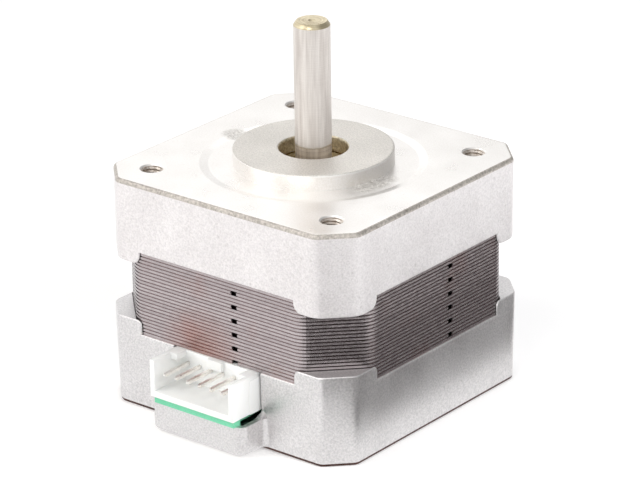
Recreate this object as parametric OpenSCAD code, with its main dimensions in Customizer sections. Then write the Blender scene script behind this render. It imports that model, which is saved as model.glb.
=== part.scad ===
// Hybrid stepper motor, 42 mm square, with a 5 mm shaft and a six-way plug header.
// Millimetres. The origin is where the shaft's axis meets the front mounting face.
// +Z runs out along the shaft, and the header looks along -Y.

/* [Body] */
// Width across the flats of both end caps
body_w = 42.3; // [41.6:0.1:43]
// Side length of the front cap, from the mounting face to the stator
front_cap_l = 10; // [9.6:0.1:12]
// Side length of the rear cap, from the stator to the rear face
rear_cap_l = 11; // [10.6:0.1:13]
// Corner cut of the front cap, measured along a side
front_corner_cut = 4.1; // [3.6:0.1:4.6]
// Corner cut of the rear cap, measured along a side
rear_corner_cut = 3.6; // [3:0.1:4.4]
// Width of the bevel round the mounting face
face_bevel_w = 0.4; // [0.1:0.05:0.6]
// Height of the bevel round the mounting face
face_bevel_h = 0.5; // [0.2:0.05:0.8]
// Width and height of the bevel round the rear face
rear_bevel = 0.15; // [0.05:0.05:0.4]
// How far the round of the rear cap's upright bends comes in from the sharp corner
cap_bend_round = 0.2; // [0.05:0.05:0.4]
// How far the rear cap's sides lean in by the rear face
rear_draft = 0.25; // [0.05:0.05:0.4]
// Thickness of the caps' side walls, in the middle of each side
cap_wall = 1.55; // [1.35:0.05:1.65]
// Thickness of the front cap's end wall
front_wall = 3.6; // [3:0.1:4.5]
// Thickness of the rear cap's end wall
rear_wall = 2.8; // [2.6:0.1:3]

/* [Corner tabs] */
// Distance of a tab's side from the square corner
tab_w = 7.75; // [7.2:0.05:8.2]
// How far the front cap's tabs hang over the stator
front_tab_l = 1.7; // [1:0.1:3]
// How far the rear cap's posts rise beside the stator
rear_tab_l = 2; // [1:0.1:3]
// Radius at a front tab's lower corners
front_tab_round = 1.3; // [0.3:0.1:1.6]
// Radius at a rear post's upper corners
rear_tab_round = 0.7; // [0.3:0.1:1.6]
// Gap between the tabs and the stator's corners
tab_clearance = 0.08; // [0.05:0.01:0.2]

/* [Mounting face] */
// Distance of the four threaded holes from the sides
hole_edge = 5.65; // [5.4:0.05:5.9]
// Thread core diameter of the holes
hole_d = 2.5; // [2.4:0.05:2.6]
// Depth of the thread that is free for the user
hole_l = 5.2; // [4.6:0.1:5.6]
// Diameter of each hole's countersink
countersink_d = 3.4; // [3:0.05:3.8]
// Diameter of the raised pilot
pilot_d = 22; // [21:0.1:23]
// Height of the pilot above the mounting face
pilot_h = 2; // [1:0.1:3]
// Width of the bevel round the pilot's top
pilot_bevel = 0.25; // [0.1:0.05:0.4]
// Diameter of the bore through the pilot
pilot_bore_d = 9.4; // [8.6:0.1:10]
// Width of the bevel at the mouth of that bore
pilot_bore_bevel = 0.3; // [0.1:0.05:0.5]
// Outer diameter of the turned ring round the pilot
ring_outer_d = 31; // [29.6:0.1:32]
// Inner diameter of the turned ring's slope
ring_inner_d = 28.6; // [27:0.1:29.2]
// Depth of the turned ring
ring_depth = 0.2; // [0.1:0.02:0.3]

/* [Shaft] */
// Diameter of the shaft
shaft_d = 5; // [4.9:0.02:5.1]
// Length of the shaft in front of the mounting face
shaft_l = 20; // [14:0.5:30]
// Width of the chamfer on the shaft's front end
shaft_chamfer_w = 0.43; // [0.2:0.01:0.6]
// Length of the chamfer on the shaft's front end
shaft_chamfer_l = 0.6; // [0.2:0.05:0.9]
// Height of the upper end of the relief groove above the front bearing
relief_top = 2.6; // [0.8:0.1:3]
// Depth of that relief groove
relief_depth = 0.18; // [0.16:0.01:0.3]
// Diameter of the centre dimple in the shaft's end
centre_dimple_d = 1; // [0.4:0.1:1.6]

/* [Stator] */
// Thickness of one lamination
lamination_t = 0.5; // [0.35:0.01:0.6]
// Number of laminations in the stack
lamination_count = 24; // [20:4:28]
// How far the stack lies behind the caps' sides
stack_recess = 0.25; // [0.2:0.01:0.4]
// Corner cut of the laminations, measured along a side
stack_corner_cut = 6.6; // [6:0.1:6.9]
// Radius of the bends between the stack's sides and its corner cuts
stack_bend_r = 3; // [1:0.1:4]
// Height of the dark groove between two laminations
groove_h = 0.17; // [0.08:0.01:0.2]
// Depth of the groove between two laminations
groove_depth = 0.16; // [0.08:0.01:0.3]
// Width of the index notch in each lamination's edge
notch_w = 1; // [0.6:0.1:1.6]
// Depth of the index notch
notch_depth = 0.5; // [0.3:0.05:0.7]
// Distance of the index notch from the middle of its side
notch_offset = 3; // [1:0.1:6]
// Width of the stator from its toothed bore to its sides
stator_ring_w = 7.9; // [7.6:0.05:8.2]
// Height of a stator tooth as a share of the room between bore and yoke
stator_tooth_share = 0.143; // [0.11:0.005:0.16]
// Width of a tooth as a share of the tooth pitch
tooth_share = 0.46; // [0.35:0.01:0.5]
// Thickness of a pole's shoe as a share of the same room
shoe_share = 0.25; // [0.2:0.01:0.28]
// Width of a pole's neck as a share of the stator's bore radius
neck_share = 0.415; // [0.37:0.005:0.44]
// Width of the stator's yoke, behind the coils
yoke_w = 2.3; // [2.1:0.05:2.6]

/* [Windings] */
// Thickness of the moulded insulators on the stack's ends
insulator_t = 0.8; // [0.5:0.05:1]
// Height of the insulators' guard walls
guard_h = 3.2; // [2.5:0.1:3.4]
// Thickness of the outer guard wall
guard_t = 0.7; // [0.5:0.05:0.8]
// Share of the room between two poles' necks that a coil's side fills
coil_share = 0.755; // [0.5:0.005:0.8]
// Gap at each end of a coil, to the shoe and to the yoke
coil_clearance = 0.15; // [0.1:0.01:0.3]
// Gap between a coil and its pole's neck, filled by the slot paper
slot_paper_t = 0.35; // [0.2:0.05:0.4]
// Diameter of a winding terminal
terminal_d = 0.6; // [0.4:0.05:0.6]

/* [Rotor] */
// Gap between the rotor's and the stator's teeth
air_gap = 0.08; // [0.05:0.01:0.15]
// Height of a rotor tooth
rotor_tooth_h = 0.75; // [0.5:0.05:1]
// Axial gap between the two toothed cups
cup_gap = 1.2; // [0.8:0.1:2]
// Diameter of the magnet disc as a share of the rotor's
magnet_share = 0.774; // [0.6:0.005:0.82]
// Thickness of the magnet disc
magnet_t = 3; // [2.2:0.1:4]
// Outer diameter of the sleeves between the rotor and the bearings
sleeve_d = 6.8; // [6:0.1:7.4]

/* [Bearings] */
// Outer diameter of each ball bearing
bearing_d = 16; // [15.8:0.1:16.2]
// Width of each ball bearing
bearing_w = 5; // [4.8:0.1:5.2]
// Diameter of the balls
ball_d = 2.8; // [2.6:0.05:2.9]
// Number of balls in each bearing
ball_count = 8; // [6:1:8]
// Outer diameter of the inner ring
inner_ring_d = 8.7; // [8.4:0.05:8.8]
// Inner diameter of the outer ring
outer_ring_d = 12.4; // [12.3:0.05:12.6]
// Gap between the balls and the rings' grooves
ball_clearance = 0.04; // [0.02:0.01:0.08]
// Thickness of the bearing shields
shield_t = 0.3; // [0.2:0.02:0.35]
// Thickness of the wave washer's strip
washer_t = 0.2; // [0.12:0.02:0.24]

/* [Header] */
// Number of ways in the plug header
way_count = 6; // [3:1:6]
// Pitch of the header's pins
pin_pitch = 2; // [1.8:0.05:2.1]
// Width of the header beyond its first and last pins
header_margin = 2.35; // [2:0.05:2.4]
// Height of the header
header_h = 5.35; // [5:0.05:5.5]
// Depth of the header, front to back
header_depth = 6.85; // [6.4:0.05:7]
// Thickness of the header's end walls and floor
header_wall = 0.9; // [0.6:0.05:1.1]
// Thickness of the header's back wall
header_back_t = 1.5; // [1.3:0.05:1.8]
// Side of the square pins
pin_side = 0.5; // [0.4:0.02:0.6]
// Height of the pins above the board
pin_height = 3.5; // [3:0.1:3.7]
// How far the header and the board stand out beyond the body's side
header_reach = 5.35; // [5:0.05:5.5]
// Thickness of the circuit board
board_t = 1; // [0.8:0.05:1.2]
// Half width of the board's ears under the header's front
board_ear_w = 6.9; // [6.4:0.05:7.2]
// How far the header overhangs the board's front edge
board_setback = 0.45; // [0:0.05:0.6]

/* [Connector bay] */
// Width of the bay that carries the header
bay_w = 16.1; // [15.8:0.1:17]
// How far the bay stands out beyond the body's side
bay_reach = 4.5; // [4.2:0.05:4.8]
// How far the bay's foot stays above the rear face
bay_foot_gap = 0.4; // [0.1:0.1:1]
// Radius of the bay's two upright corners
bay_round = 1.3; // [0.8:0.1:1.8]
// Radius of the fillet where the bay meets the body
bay_fillet = 0.9; // [0.4:0.1:1.4]
// Radius in which the bay's side walls sweep up into the cap's side
rail_r = 1.6; // [0.8:0.1:2.2]
// Thickness of the bay's front wall
bay_wall = 1; // [0.8:0.05:1.2]
// Gap between the header and the window's sides
window_clearance = 0.25; // [0.2:0.05:0.3]

/* [Screws] */
// Diameter of the assembly screws
screw_d = 3; // [2.8:0.05:3.05]
// Diameter of the screws' heads
screw_head_d = 5.5; // [5.2:0.1:5.6]
// Height of the screws' heads
screw_head_h = 1.9; // [1.5:0.1:2.2]
// Depth of the counterbores for the heads
counterbore_h = 2.5; // [2.4:0.1:2.6]
// Gap between a screw and its hole in the stack and the rear cap
screw_clearance = 0.12; // [0.05:0.01:0.2]

/* [Hidden] */

// Facets of a full circle, and of a small one
$fn = 96;
small_fn = 32;
// Every cut runs this far past the face that it opens
overrun = 1;
// Gap in a light press fit, so that the two faces only just miss
press_gap = 0.01;
root2 = sqrt(2);
cavity_r = body_w / 2 - cap_wall;
hole_spacing = body_w - 2 * hole_edge;

// Heights along the axis
stack_l = lamination_t * lamination_count;
stack_top = -front_cap_l;
stack_bottom = stack_top - stack_l;
stack_mid = (stack_top + stack_bottom) / 2;
rear_face = stack_bottom - rear_cap_l;
rear_floor = rear_face + rear_wall;

// Stator outline
stack_w = body_w - 2 * stack_recess;

// Bearing seats: the front one ends at the turned ring's level, the rear one on the washer
bearing_r = bearing_d / 2;
front_bearing_top = -ring_depth;
front_bearing_bottom = front_bearing_top - bearing_w;
rear_lip_t = 1.2;
washer_h = 2 * washer_t;
rear_seat_floor = rear_face + rear_lip_t;
rear_bearing_bottom = rear_seat_floor + washer_h;
rear_bearing_top = rear_bearing_bottom + bearing_w;
hub_wall = 1.8;
hub_r = bearing_r + hub_wall;
rear_bore_d = 9;
shaft_rear_inset = 1.4;
shaft_bottom = rear_face + shaft_rear_inset;
journal_r = shaft_d / 2 - press_gap;
relief_r = shaft_d / 2 - relief_depth;
relief_edge = 0.08;

// Bearing details
ball_ring_r = (inner_ring_d + outer_ring_d) / 4;
groove_r = ball_d / 2 + ball_clearance;
ring_bevel = 0.3;
shield_inset = 0.1;
shield_groove = 0.3;
shield_gap = 0.15;
cage_t = 1;
cage_h = 3.4;

// Rotor and stator teeth: fifty rotor teeth, six on each of eight poles
rotor_teeth = 50;
pole_count = 8;
pole_teeth = 6;
pitch_angle = 360 / rotor_teeth;
pole_angle = 360 / pole_count;
stator_r = stack_w / 2 - stator_ring_w;
neck_w = neck_share * stator_r;
yoke_r = stack_w / 2 - yoke_w;
stator_room = yoke_r - stator_r;
stator_tooth_h = stator_tooth_share * stator_room;
shoe_t = shoe_share * stator_room;
rotor_r = stator_r - air_gap;
magnet_d = 2 * magnet_share * rotor_r;
cup_l = (stack_l - cup_gap) / 2;
magnet_recess = (magnet_t - cup_gap) / 2;
shoe_inner_r = stator_r + stator_tooth_h;
shoe_outer_r = shoe_inner_r + shoe_t;
shoe_margin_angle = 0.4;
shoe_edge_angle = (pole_teeth - 1 + tooth_share) * pitch_angle / 2 + shoe_margin_angle;

// Insulators and coils
neck_cover_w = neck_w + 2 * slot_paper_t;
guard_clearance = 0.4;
outer_guard_r = cavity_r - guard_clearance;
outer_guard_inner_r = outer_guard_r - guard_t;
inner_guard_t = shoe_t / 2;
inner_guard_r = shoe_outer_r - inner_guard_t - coil_clearance;
coil_inner_r = shoe_outer_r + coil_clearance;
coil_t = coil_share * (coil_inner_r * tan(pole_angle / 2) - neck_cover_w / 2);
coil_outer_r = sqrt(pow(yoke_r, 2) - pow(neck_cover_w / 2 + coil_t, 2)) - coil_clearance;
coil_l = coil_outer_r - coil_inner_r;
coil_lift = insulator_t + press_gap;
coil_bend_r = 0.8;
terminal_angles = [-129, -119, -61, -51];

// Plug header and circuit board
header_w = (way_count - 1) * pin_pitch + 2 * header_margin;
header_gap = 0.05;
header_top = stack_bottom - header_gap;
board_top = header_top - header_h;
board_bottom = board_top - board_t;
header_front = -body_w / 2 - header_reach;
header_back = header_front + header_depth;
board_front = header_front + board_setback;
pin_z = board_top + pin_height;
pin_inset = 0.35;
pin_leg_y = header_back - header_back_t / 2;
pin_tail = 0.9;
pin_gap = 0.02;
board_clearance = 0.3;
board_r = cavity_r - board_clearance;
board_bore_r = hub_r + board_clearance;
board_neck_w = 6.1;
board_ear_l = 1.4;
board_hole_d = 0.95;
terminal_root = stack_bottom - guard_h / 2;
terminal_inset = 0.1;
terminal_end = board_bottom + terminal_inset;
ledge_w = 1;

// Connector bay
bay_front = -body_w / 2 - bay_reach;
bay_side_wall = 0.75;
bay_inset = 2;
bay_back = cavity_r - ledge_w - bay_inset;
bay_bevel = 0.6;
bay_foot = rear_face + bay_foot_gap;
window_w = header_w + 2 * window_clearance;
window_round = 1;

// Screws, from the rear counterbores up into the front cap
screw_head_z = rear_face + counterbore_h;
screw_tip_gap = 0.4;
screw_tip = -hole_l - screw_tip_gap;
screw_hole_r = screw_d / 2 + screw_clearance;
counterbore_clearance = 0.25;
counterbore_r = screw_head_d / 2 + counterbore_clearance;
screw_socket_d = 2.5;
screw_socket_h = 1.1;
screw_point_h = 0.4;

// Places the children in the four corners of the hole pattern
module corners() {
    for (sx = [-1, 1], sy = [-1, 1])
        translate([sx * hole_spacing / 2, sy * hole_spacing / 2, 0]) children();
}

// Square outline with cut corners; shrink moves every side in
module cut_square(w, cut, shrink = 0) {
    intersection() {
        square(w - 2 * shrink, center = true);
        rotate(45) square((w - cut) * root2 - 2 * shrink, center = true);
    }
}

// Distance from the centre to the bends between the flats and the corner cuts
function bend_r(w, cut) = norm([w / 2, w / 2 - cut]);

// Cut square whose bends are rounded by a circle
module soft_cut_square(w, cut, round_in, shrink = 0) {
    intersection() {
        cut_square(w, cut, shrink);
        circle(bend_r(w, cut) - round_in - shrink);
    }
}

// Points round one bend of a cut square, from a side to its corner cut
cut_angle = 45;
bend_steps = 5;
function bend_points(half, cut, r) = [
    for (k = [0 : bend_steps])
        let (a = cut_angle * k / bend_steps)
        [half - r + r * cos(a), half - cut - r * tan(cut_angle / 2) + r * sin(a)]
];
function turned(p, a) = [p[0] * cos(a) - p[1] * sin(a), p[0] * sin(a) + p[1] * cos(a)];

// Outline of one lamination: a square with cut corners and round bends
module stack_outline(shrink = 0) {
    bend = bend_points(stack_w / 2 - shrink, stack_corner_cut - shrink * (2 - root2),
        stack_bend_r - shrink);
    quarter = concat(bend, [for (k = [bend_steps : -1 : 0]) [bend[k][1], bend[k][0]]]);
    polygon([for (i = [0 : 3], p = quarter) turned(p, 90 * i)]);
}

// Bar of a section, laid along each of the eight sides of a cut square
module along_sides(w, cut) {
    for (i = [0 : 3]) {
        rotate(90 * i) translate([w / 2, 0, 0]) rotate([90, 0, 0])
            linear_extrude(w, center = true) children();
        rotate(90 * i + 45) translate([(w - cut) / root2, 0, 0]) rotate([90, 0, 0])
            linear_extrude(w, center = true) children();
    }
}

// Section that bevels an edge: the corner at the origin loses in_w by in_h
module bevel_section(in_w, in_h) {
    polygon([[-in_w, 0], [0, -in_h], [overrun, -in_h], [overrun, overrun], [-in_w, overrun]]);
}

// Section of the draft: nothing at the top, the full draft at the foot
module draft_section(lean, h) {
    polygon([[0, 0], [-lean, -h], [-lean, -h - overrun], [overrun, -h - overrun], [overrun, 0]]);
}

// One corner of the cap outline given as children, where it reaches along the stator
module tab_outline(w) {
    difference() {
        intersection() {
            children();
            translate([w / 2 - tab_w, w / 2 - tab_w]) square(tab_w);
        }
        stack_outline(-tab_clearance);
    }
}

// Cuts the square end of a tab to a radius; the tab's side is at y = 0, its end at z = 0
module tab_corner_cutter(r) {
    translate([-tab_w, 0, 0]) difference() {
        translate([0, -overrun, -overrun]) cube([2 * tab_w, r + overrun, r + overrun]);
        translate([-overrun, r, r]) rotate([0, 90, 0])
            cylinder(r = r, h = 2 * tab_w + 2 * overrun, $fn = small_fn);
    }
}

// Four corner tabs of a cap whose outline is given, rising by reach from the level root_z
module corner_tabs(w, reach, round_r, root_z) {
    for (i = [0 : 3])
        rotate(90 * i) difference() {
            translate([0, 0, root_z - overrun]) linear_extrude(reach + overrun)
                tab_outline(w) children();
            translate([w / 2, w / 2 - tab_w, root_z + reach]) mirror([0, 0, 1])
                tab_corner_cutter(round_r);
            translate([w / 2 - tab_w, w / 2, root_z + reach]) mirror([0, 0, 1]) rotate(90)
                mirror([0, 1, 0]) tab_corner_cutter(round_r);
        }
}

module front_end_cap() {
    color("#d6d3d0") difference() {
        union() {
            difference() {
                translate([0, 0, stack_top]) linear_extrude(front_cap_l)
                    cut_square(body_w, front_corner_cut);
                along_sides(body_w, front_corner_cut) bevel_section(face_bevel_w, face_bevel_h);
                translate([0, 0, stack_top - overrun])
                    cylinder(r = cavity_r, h = front_cap_l - front_wall + overrun);
                turned_ring();
            }
            translate([0, 0, front_bearing_bottom])
                cylinder(r = hub_r, h = bearing_w + ring_depth / 2);
            pilot();
            mirror([0, 0, 1]) corner_tabs(body_w, front_tab_l, front_tab_round, front_cap_l)
                cut_square(body_w, front_corner_cut);
        }
        translate([0, 0, front_bearing_bottom - overrun])
            cylinder(r = bearing_r + press_gap, h = bearing_w + overrun);
        translate([0, 0, stack_top]) cylinder(d = pilot_bore_d, h = front_cap_l + pilot_h + overrun);
        translate([0, 0, pilot_h - pilot_bore_bevel]) cone_cutter(pilot_bore_d, pilot_bore_bevel);
        corners() {
            translate([0, 0, -hole_l - overrun]) cylinder(d = hole_d, h = hole_l + 2 * overrun);
            translate([0, 0, stack_top - front_tab_l - overrun])
                cylinder(r = screw_d / 2 + press_gap, h = front_cap_l - hole_l + front_tab_l + overrun,
                    $fn = small_fn);
            translate([0, 0, -(countersink_d - hole_d) / 2])
                cone_cutter(hole_d, (countersink_d - hole_d) / 2);
        }
    }
}

// Widens a hole of diameter d at 45 degrees over the height h, upward from z = 0
module cone_cutter(d, h) {
    cylinder(d1 = d, d2 = d + 2 * (h + overrun), h = h + overrun);
}

// Shallow turned ring in the mounting face: a slope, then a floor up to the pilot
module turned_ring() {
    rotate_extrude() polygon([
        [pilot_d / 2, -ring_depth], [ring_inner_d / 2, -ring_depth], [ring_outer_d / 2, 0],
        [ring_outer_d / 2, overrun], [pilot_d / 2, overrun]
    ]);
}

// Raised disc that centres the motor, rooted in the end wall
module pilot() {
    rotate_extrude() polygon([
        [0, -front_wall], [pilot_d / 2, -front_wall], [pilot_d / 2, pilot_h - pilot_bevel],
        [pilot_d / 2 - pilot_bevel, pilot_h], [0, pilot_h]
    ]);
}

module rear_end_cap() {
    color("#cfcccb") difference() {
        union() {
            difference() {
                rear_block();
                translate([0, 0, stack_bottom]) along_sides(body_w, rear_corner_cut)
                    draft_section(rear_draft, rear_cap_l);
                translate([0, 0, rear_face]) mirror([0, 0, 1])
                    along_sides(body_w - 2 * rear_draft, rear_corner_cut - rear_draft * (2 - root2))
                        bevel_section(rear_bevel, rear_bevel);
            }
            corner_tabs(body_w, rear_tab_l, rear_tab_round, stack_bottom)
                soft_cut_square(body_w, rear_corner_cut, cap_bend_round);
            connector_bay();
            bay_rails();
        }
        rear_cavity();
        bay_pocket();
        header_window();
        translate([0, 0, rear_seat_floor])
            cylinder(r = bearing_r + press_gap, h = rear_cap_l);
        translate([0, 0, rear_face - overrun]) cylinder(d = rear_bore_d, h = rear_lip_t + 2 * overrun);
        corners() {
            translate([0, 0, rear_face - overrun]) {
                cylinder(r = screw_hole_r, h = rear_cap_l + rear_tab_l + 2 * overrun, $fn = small_fn);
                cylinder(r = counterbore_r, h = counterbore_h + overrun, $fn = small_fn);
            }
        }
    }
}

// The rear cap's block before its draft; a cone rounds its upright bends
module rear_block() {
    top_r = bend_r(body_w, rear_corner_cut) - cap_bend_round;
    intersection() {
        translate([0, 0, rear_face]) linear_extrude(rear_cap_l)
            cut_square(body_w, rear_corner_cut);
        translate([0, 0, rear_face]) cylinder(r1 = top_r - rear_draft, r2 = top_r, h = rear_cap_l);
    }
}

// Hollow of the rear cap round the bearing's hub; the board rests on the step in its wall
module rear_cavity() {
    difference() {
        union() {
            translate([0, 0, board_bottom])
                cylinder(r = cavity_r, h = stack_bottom - board_bottom + overrun);
            translate([0, 0, rear_floor])
                cylinder(r = cavity_r - ledge_w, h = board_bottom - rear_floor + overrun);
        }
        translate([0, 0, rear_face]) cylinder(r = hub_r, h = rear_bearing_top - rear_face);
    }
}

// Box outside the body that carries the board's front edge and the header, in plan
module bay_outline() {
    root_y = -body_w / 2 + rear_draft;
    corner_x = bay_w / 2 - bay_round;
    translate([-corner_x, bay_front]) square([2 * corner_x, root_y - bay_front + overrun]);
    translate([-bay_w / 2, bay_front + bay_round])
        square([bay_w, root_y - bay_front - bay_round + overrun]);
    for (sx = [-1, 1]) {
        translate([sx * corner_x, bay_front + bay_round]) circle(bay_round, $fn = small_fn);
        translate([sx * bay_w / 2, root_y]) scale([sx, 1]) difference() {
            translate([-overrun, -bay_fillet]) square([bay_fillet + overrun, bay_fillet + overrun]);
            translate([bay_fillet, -bay_fillet]) circle(bay_fillet, $fn = small_fn);
        }
    }
}

module connector_bay() {
    difference() {
        translate([0, 0, bay_foot]) linear_extrude(board_bottom - bay_foot) bay_outline();
        translate([0, bay_front, bay_foot]) rotate([0, 0, -90]) rotate([90, 0, 0])
            linear_extrude(bay_w + 2 * overrun, center = true) mirror([0, 1])
                bevel_section(bay_bevel, bay_bevel);
        for (sx = [0, 1]) mirror([sx, 0, 0])
            translate([bay_w / 2, bay_front, bay_foot]) rotate([90, 0, 0])
                linear_extrude(2 * bay_reach - 2 * bay_fillet, center = true) mirror([0, 1])
                    bevel_section(bay_bevel, bay_bevel);
    }
}

// Ends of the bay's side walls, which sweep up into the cap's side beside the header
module bay_rails() {
    for (sx = [0, 1]) mirror([sx, 0, 0])
        translate([window_w / 2 - window_clearance, -body_w / 2 + rear_draft, board_bottom])
            rotate([90, 0, 90]) linear_extrude((bay_w - window_w) / 2 + window_clearance)
                difference() {
                    translate([-rail_r, -overrun]) square([rail_r + overrun, rail_r + overrun]);
                    translate([-rail_r, rail_r]) circle(rail_r, $fn = small_fn);
                }
}

// Hollow of the bay under the board
module bay_pocket() {
    translate([-bay_w / 2 + bay_side_wall, bay_front + bay_wall, rear_floor])
        cube([bay_w - 2 * bay_side_wall, -bay_front - bay_wall - bay_back,
            board_bottom - rear_floor + overrun / 2]);
}

// Window in the cap's side wall, with round lower corners, through which the header looks
module header_window() {
    window_h = stack_bottom - board_bottom;
    translate([0, -bay_back, board_bottom]) rotate([90, 0, 0])
        linear_extrude(-bay_front - bay_back + overrun) {
            translate([-window_w / 2, window_round]) square([window_w, window_h]);
            translate([-window_w / 2 + window_round, 0])
                square([window_w - 2 * window_round, window_h]);
            for (sx = [-1, 1])
                translate([sx * (window_w / 2 - window_round), window_round])
                    circle(window_round, $fn = small_fn);
        }
}

// One lamination's inner outline, walked round the eight poles: slot wall, shoe and teeth
function polar(r, a) = [r * cos(a), r * sin(a)];
tooth_half = pitch_angle * tooth_share / 2;
function tooth_points(a) = [
    polar(shoe_inner_r, a - tooth_half), polar(stator_r, a - tooth_half),
    polar(stator_r, a + tooth_half), polar(shoe_inner_r, a + tooth_half)
];
function neck_corner(r, side, a) =
    polar(r, a + side * asin(neck_w / 2 / r));
function pole_points(a) = concat(
    [neck_corner(yoke_r, -1, a), neck_corner(shoe_outer_r, -1, a)],
    [polar(shoe_outer_r, a - shoe_edge_angle), polar(shoe_inner_r, a - shoe_edge_angle)],
    [for (t = [0 : pole_teeth - 1]) each tooth_points(a + (t - (pole_teeth - 1) / 2) * pitch_angle)],
    [polar(shoe_inner_r, a + shoe_edge_angle), polar(shoe_outer_r, a + shoe_edge_angle)],
    [neck_corner(shoe_outer_r, 1, a), neck_corner(yoke_r, 1, a)]
);
slot_steps = 8;
function slot_points(a) =
    let (edge = asin(neck_w / 2 / yoke_r), span = pole_angle - 2 * edge)
    [for (k = [1 : slot_steps - 1]) polar(yoke_r, a + edge + span * k / slot_steps)];

module stator_core() {
    bore_outline = [for (i = [0 : pole_count - 1])
        each concat(pole_points(i * pole_angle), slot_points(i * pole_angle))];
    color("#8d8488") difference() {
        translate([0, 0, stack_bottom]) linear_extrude(stack_l) difference() {
            stack_outline();
            polygon(bore_outline);
            corners() circle(screw_hole_r, $fn = small_fn);
        }
        for (k = [1 : lamination_count - 1])
            translate([0, 0, stack_top - k * lamination_t - groove_h / 2])
                linear_extrude(groove_h) difference() {
                    square(body_w, center = true);
                    stack_outline(groove_depth);
                }
        for (k = [0 : lamination_count - 1])
            rotate(-90 * (k + 2)) index_notch(stack_top - (k + 1) * lamination_t);
    }
}

// Notch in one lamination's edge, on the side that faces -Y before it is turned
module index_notch(z) {
    rotate(90) translate([notch_offset - notch_w / 2, -stack_w / 2 - overrun, z - groove_h / 2])
        cube([notch_w, notch_depth + overrun, lamination_t + groove_h]);
}

// Moulded ring on one end of the stack, drawn for the front end with the stack's face at z = 0
module insulator() {
    rotate_extrude() translate([outer_guard_inner_r, 0]) square([guard_t, guard_h]);
    for (i = [0 : pole_count - 1]) {
        rotate(i * pole_angle) translate([inner_guard_r + inner_guard_t / 2, -neck_cover_w / 2, 0])
            cube([outer_guard_r - inner_guard_r - inner_guard_t, neck_cover_w, insulator_t]);
        rotate(i * pole_angle - shoe_edge_angle) rotate_extrude(angle = 2 * shoe_edge_angle)
            translate([inner_guard_r, 0]) square([inner_guard_t, guard_h]);
    }
}

module front_insulator() {
    color("#e4e1d6") translate([0, 0, stack_top]) insulator();
}

module rear_insulator() {
    color("#e4e1d6") difference() {
        translate([0, 0, stack_bottom]) mirror([0, 0, 1]) insulator();
        terminals_at(terminal_d + 2 * press_gap, overrun);
    }
}

// The four terminals' places, from inside the rear insulator's outer wall into the board
module terminals_at(d, longer = 0) {
    for (a = terminal_angles)
        rotate(a) translate([outer_guard_r - guard_t / 2, 0, terminal_end - longer])
            cylinder(d = d, h = terminal_root - terminal_end + longer, $fn = small_fn);
}

module winding_terminals() {
    color("#c9b48a") terminals_at(terminal_d);
}

// One coil round its pole's neck, as a rounded ring of wire
module coil(i) {
    half_w = neck_cover_w / 2;
    half_h = stack_l / 2 + coil_lift;
    color("#a8552f") rotate(i * pole_angle) translate([coil_inner_r, 0, stack_mid])
        rotate([90, 0, 90]) linear_extrude(coil_l) difference() {
            rounded_rectangle(half_w + coil_t, half_h + coil_t, coil_bend_r + coil_t / 2);
            square([2 * half_w, 2 * half_h], center = true);
        }
}

// Rectangle of two half sizes with round corners, centred on the origin
module rounded_rectangle(half_x, half_y, r) {
    square([2 * (half_x - r), 2 * half_y], center = true);
    square([2 * half_x, 2 * (half_y - r)], center = true);
    for (sx = [-1, 1], sy = [-1, 1])
        translate([sx * (half_x - r), sy * (half_y - r)]) circle(r, $fn = small_fn);
}

module circuit_board() {
    color("#58c596") difference() {
        translate([0, 0, board_bottom]) linear_extrude(board_t) {
            difference() {
                circle(board_r);
                circle(board_bore_r);
            }
            difference() {
                translate([-board_neck_w, board_front])
                    square([2 * board_neck_w, -board_front]);
                circle((board_bore_r + board_r) / 2);
            }
            translate([-board_ear_w, board_front]) square([2 * board_ear_w, board_ear_l]);
        }
        pin_places() translate([0, pin_leg_y, board_bottom - overrun])
            cylinder(d = board_hole_d, h = board_t + 2 * overrun, $fn = small_fn);
        terminals_at(board_hole_d, overrun);
    }
}

// Repeats the children at each pin along X
module pin_places() {
    for (k = [0 : way_count - 1])
        translate([(k - (way_count - 1) / 2) * pin_pitch, 0, 0]) children();
}

// One bent pin: a level part that points out of the header and a leg through the board
module bent_pin(grow = 0) {
    side = pin_side + 2 * grow;
    tip = header_front + pin_inset;
    translate([-side / 2, tip, pin_z - side / 2])
        cube([side, pin_leg_y + side / 2 - tip, side]);
    translate([-side / 2, pin_leg_y - side / 2, board_bottom - pin_tail])
        cube([side, side, pin_z + side / 2 - board_bottom + pin_tail]);
}

module header_pins() {
    color("#d9c3a6") pin_places() bent_pin();
}

module header_housing() {
    cavity_w = header_w - 2 * header_wall;
    cavity_back = header_back - header_back_t;
    lip_w = 1.1;
    key_w = 2.4;
    key_reach = 0.6;
    pad_t = 0.15;
    color("#f2f0e6") difference() {
        union() {
            translate([-header_w / 2 + pad_t, header_front, board_top])
                cube([header_w - 2 * pad_t, header_depth, header_h]);
            translate([-header_w / 2, header_front + header_depth / 2, board_top])
                cube([header_w, header_depth / 2, header_h - header_wall / 2]);
        }
        difference() {
            translate([-cavity_w / 2, header_front - overrun, board_top + header_wall])
                cube([cavity_w, cavity_back - header_front + overrun, header_h]);
            for (sx = [-1, 1])
                translate([sx * (cavity_w / 2 - lip_w / 2) - lip_w / 2, header_front + header_depth / 2,
                    board_top + header_h - header_wall])
                    cube([lip_w, header_depth, header_wall]);
            translate([-key_w / 2, cavity_back - key_reach, pin_z + pin_side])
                cube([key_w, key_reach, header_h]);
        }
        translate([-cavity_w / 2, header_front + header_depth / 2, board_top + header_h])
            cube([cavity_w, header_depth, overrun]);
        pin_places() bent_pin(pin_gap);
    }
}

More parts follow.
